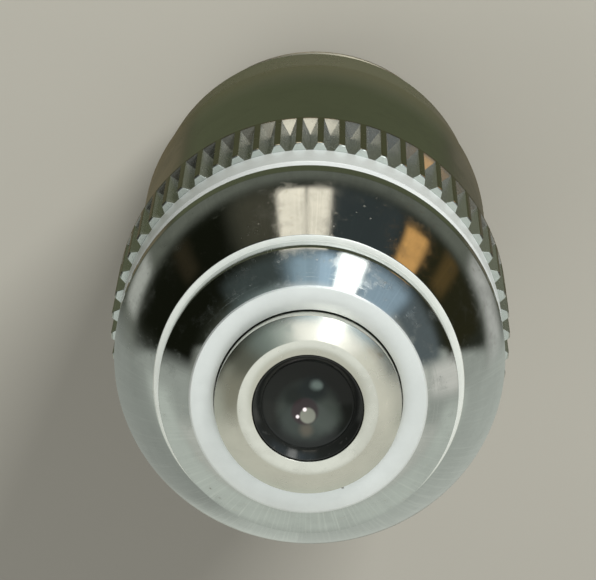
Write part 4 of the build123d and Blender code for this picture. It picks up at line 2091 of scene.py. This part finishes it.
@dataclass(frozen=True)
class Lamp:
    """A soft square lamp that looks at the middle of the object.

    Attributes:
        name: Its name.
        way: Way from the object to it.
        size: Length of its sides, in millimetres.
        power: Its power, in watts.
        colour: Its colour.
        distance: How far away it hangs, in millimetres.
        target: Height that it looks at.
    """

    name: str
    way: Triple
    size: float
    power: float
    colour: Colour = (1.0, 0.995, 0.98)
    distance: float = 260.0
    target: float = 37.0

    def make(self) -> None:
        """Hang the lamp. Gloss shows the room instead of it."""
        light = bpy.data.lights.new(self.name, "AREA")
        light.shape = "SQUARE"
        light.size = self.size * MM
        light.energy = self.power
        light.color = self.colour
        lamp = add_object(self.name, light)
        target = Vector((0.0, 0.0, self.target))
        spot = target + Vector(self.way) * self.distance
        lamp.location = spot * MM
        lamp.rotation_mode = "QUATERNION"
        lamp.rotation_quaternion = (target - spot).to_track_quat("-Z", "Y")
        lamp.visible_glossy = False


@dataclass(frozen=True)
class View:
    """The camera, where the photograph was taken from.

    Attributes:
        tilt: Angle between the line of sight and the optical axis, in degrees.
        turn: Angle round the optical axis, in degrees.
        distance: Distance from the object, in millimetres.
        height: Height that the line of sight meets on the optical axis.
        focal_pixels: Focal length, in pixels of the picture.
        width: Width of the picture, in pixels.
        depth: Height of the picture, in pixels.
        aim: Pixel at which that height shows.
        roll: How far the picture is turned, in degrees.
        sensor: Width of the sensor, in millimetres.
        reach: Nearest and farthest distance that it shows, in metres.
    """

    tilt: float = 17.86
    turn: float = 1.015
    distance: float = 236.0
    height: float = 39.5
    focal_pixels: float = 3992.0
    width: float = 596.0
    depth: float = 580.0
    aim: tuple[float, float] = (311.9, 384.3)
    roll: float = -1.95
    sensor: float = 36.0
    reach: Range = (0.01, 10.0)

    def make(self) -> None:
        """Put the camera in its place."""
        tilt = math.radians(self.tilt)
        away = Vector((0.0, -math.sin(tilt), math.cos(tilt)))
        up = Vector((0.0, -math.cos(tilt), -math.sin(tilt)))
        straight = Matrix((up.cross(away), up, -away))
        spin = Matrix.Rotation(math.radians(self.turn), 3, "Z")
        right, up, ahead = (spin @ row for row in self._aimed() @ straight)
        lens = bpy.data.cameras.new("camera")
        lens.sensor_width = self.sensor
        lens.lens = self.focal_pixels / self.width * self.sensor
        lens.clip_start, lens.clip_end = self.reach
        camera = add_object("camera", lens)
        whole = Matrix((right, up, -ahead)).transposed().to_4x4()
        whole.translation = spin @ (away * self.distance + Vector((0.0, 0.0, self.height))) * MM
        camera.matrix_world = whole
        bpy.context.scene.camera = camera

    def _aimed(self) -> Matrix:
        """Turn of the camera that moves the line of sight from the picture's middle to the aim.

        Returns:
            The turn, with the picture's roll.
        """
        across = math.atan2(self.aim[0] - self.width / 2, self.focal_pixels)
        down = math.atan2(self.aim[1] - self.depth / 2, self.focal_pixels)
        yaw = Matrix.Rotation(across, 3, "Y")
        pitch = Matrix.Rotation(down, 3, "X")
        return Matrix.Rotation(math.radians(self.roll), 3, "Z") @ pitch @ yaw


@dataclass
class Studio:
    """Floor, soft light, lamps, room and camera.

    Attributes:
        floor_colour: Colour of the floor and the backdrop.
        floor_height: Height of the floor, just under the thread end.
        floor_reach: Half its width, in metres.
        sky_colour: Colour of the even light.
        sky_strength: How bright it is.
        lamps: The lamps.
    """

    floor_colour: Colour = (0.37, 0.36, 0.315)
    floor_height: float = -4.52
    floor_reach: float = 3.0
    sky_colour: Colour = (1.0, 0.99, 0.97)
    sky_strength: float = 0.45
    lamps: tuple[Lamp, ...] = (
        Lamp("key_lamp", (-0.41, -0.787, 0.459), 95.0, 0.95),
        Lamp("fill_lamp", (0.45, 0.2, 0.87), 160.0, 0.16),
    )

    def make(self) -> None:
        """Build the whole stage."""
        self._floor()
        self._world()
        for lamp in self.lamps:
            lamp.make()
        Room().make()
        View().make()
        LOG.info("set the stage with %d lamps", len(self.lamps))

    def _floor(self) -> None:
        """Lay a plain floor under the thread end, clear from below."""
        mesh = bmesh.new()
        bmesh.ops.create_grid(mesh, x_segments=1, y_segments=1, size=self.floor_reach)
        bmesh.ops.translate(mesh, verts=mesh.verts, vec=(0.0, 0.0, self.floor_height * MM))
        floor = add_mesh("floor", mesh, FloorPaper(self.floor_colour).material())
        floor.visible_glossy = False

    def _world(self) -> None:
        """Pale backdrop for the camera and for gloss, and soft even light for the rest."""
        graph = Graph.of_world("studio")
        rays = graph.node("ShaderNodeLightPath").outputs
        seen = graph.math("MAXIMUM", rays["Is Camera Ray"], rays["Is Glossy Ray"])
        seen = graph.math("MAXIMUM", seen, rays["Is Transmission Ray"])
        soft = graph.glow("ShaderNodeBackground", self.sky_colour, self.sky_strength)
        pale = graph.glow("ShaderNodeBackground", self.floor_colour)
        bpy.context.scene.world = graph.close(graph.choose(seen, soft, pale))


def main() -> None:
    """Dress the solids, build the new pieces and set the stage."""
    logging.basicConfig(level=logging.INFO, format="%(name)s: %(message)s")
    bpy.context.scene.view_settings.view_transform = "Standard"
    finishes = Finishes()
    InnerPieces(finishes).dress()
    for piece in (
        MountRing(), BarrelSleeve(), Grip(), BandRing(), NoseCap(), NoseCell(),
        FrontMount(), FrontLens(), CoilSpring(),
    ):
        piece.make(finishes)
    Studio().make()


if __name__ == "__main__":
    main()
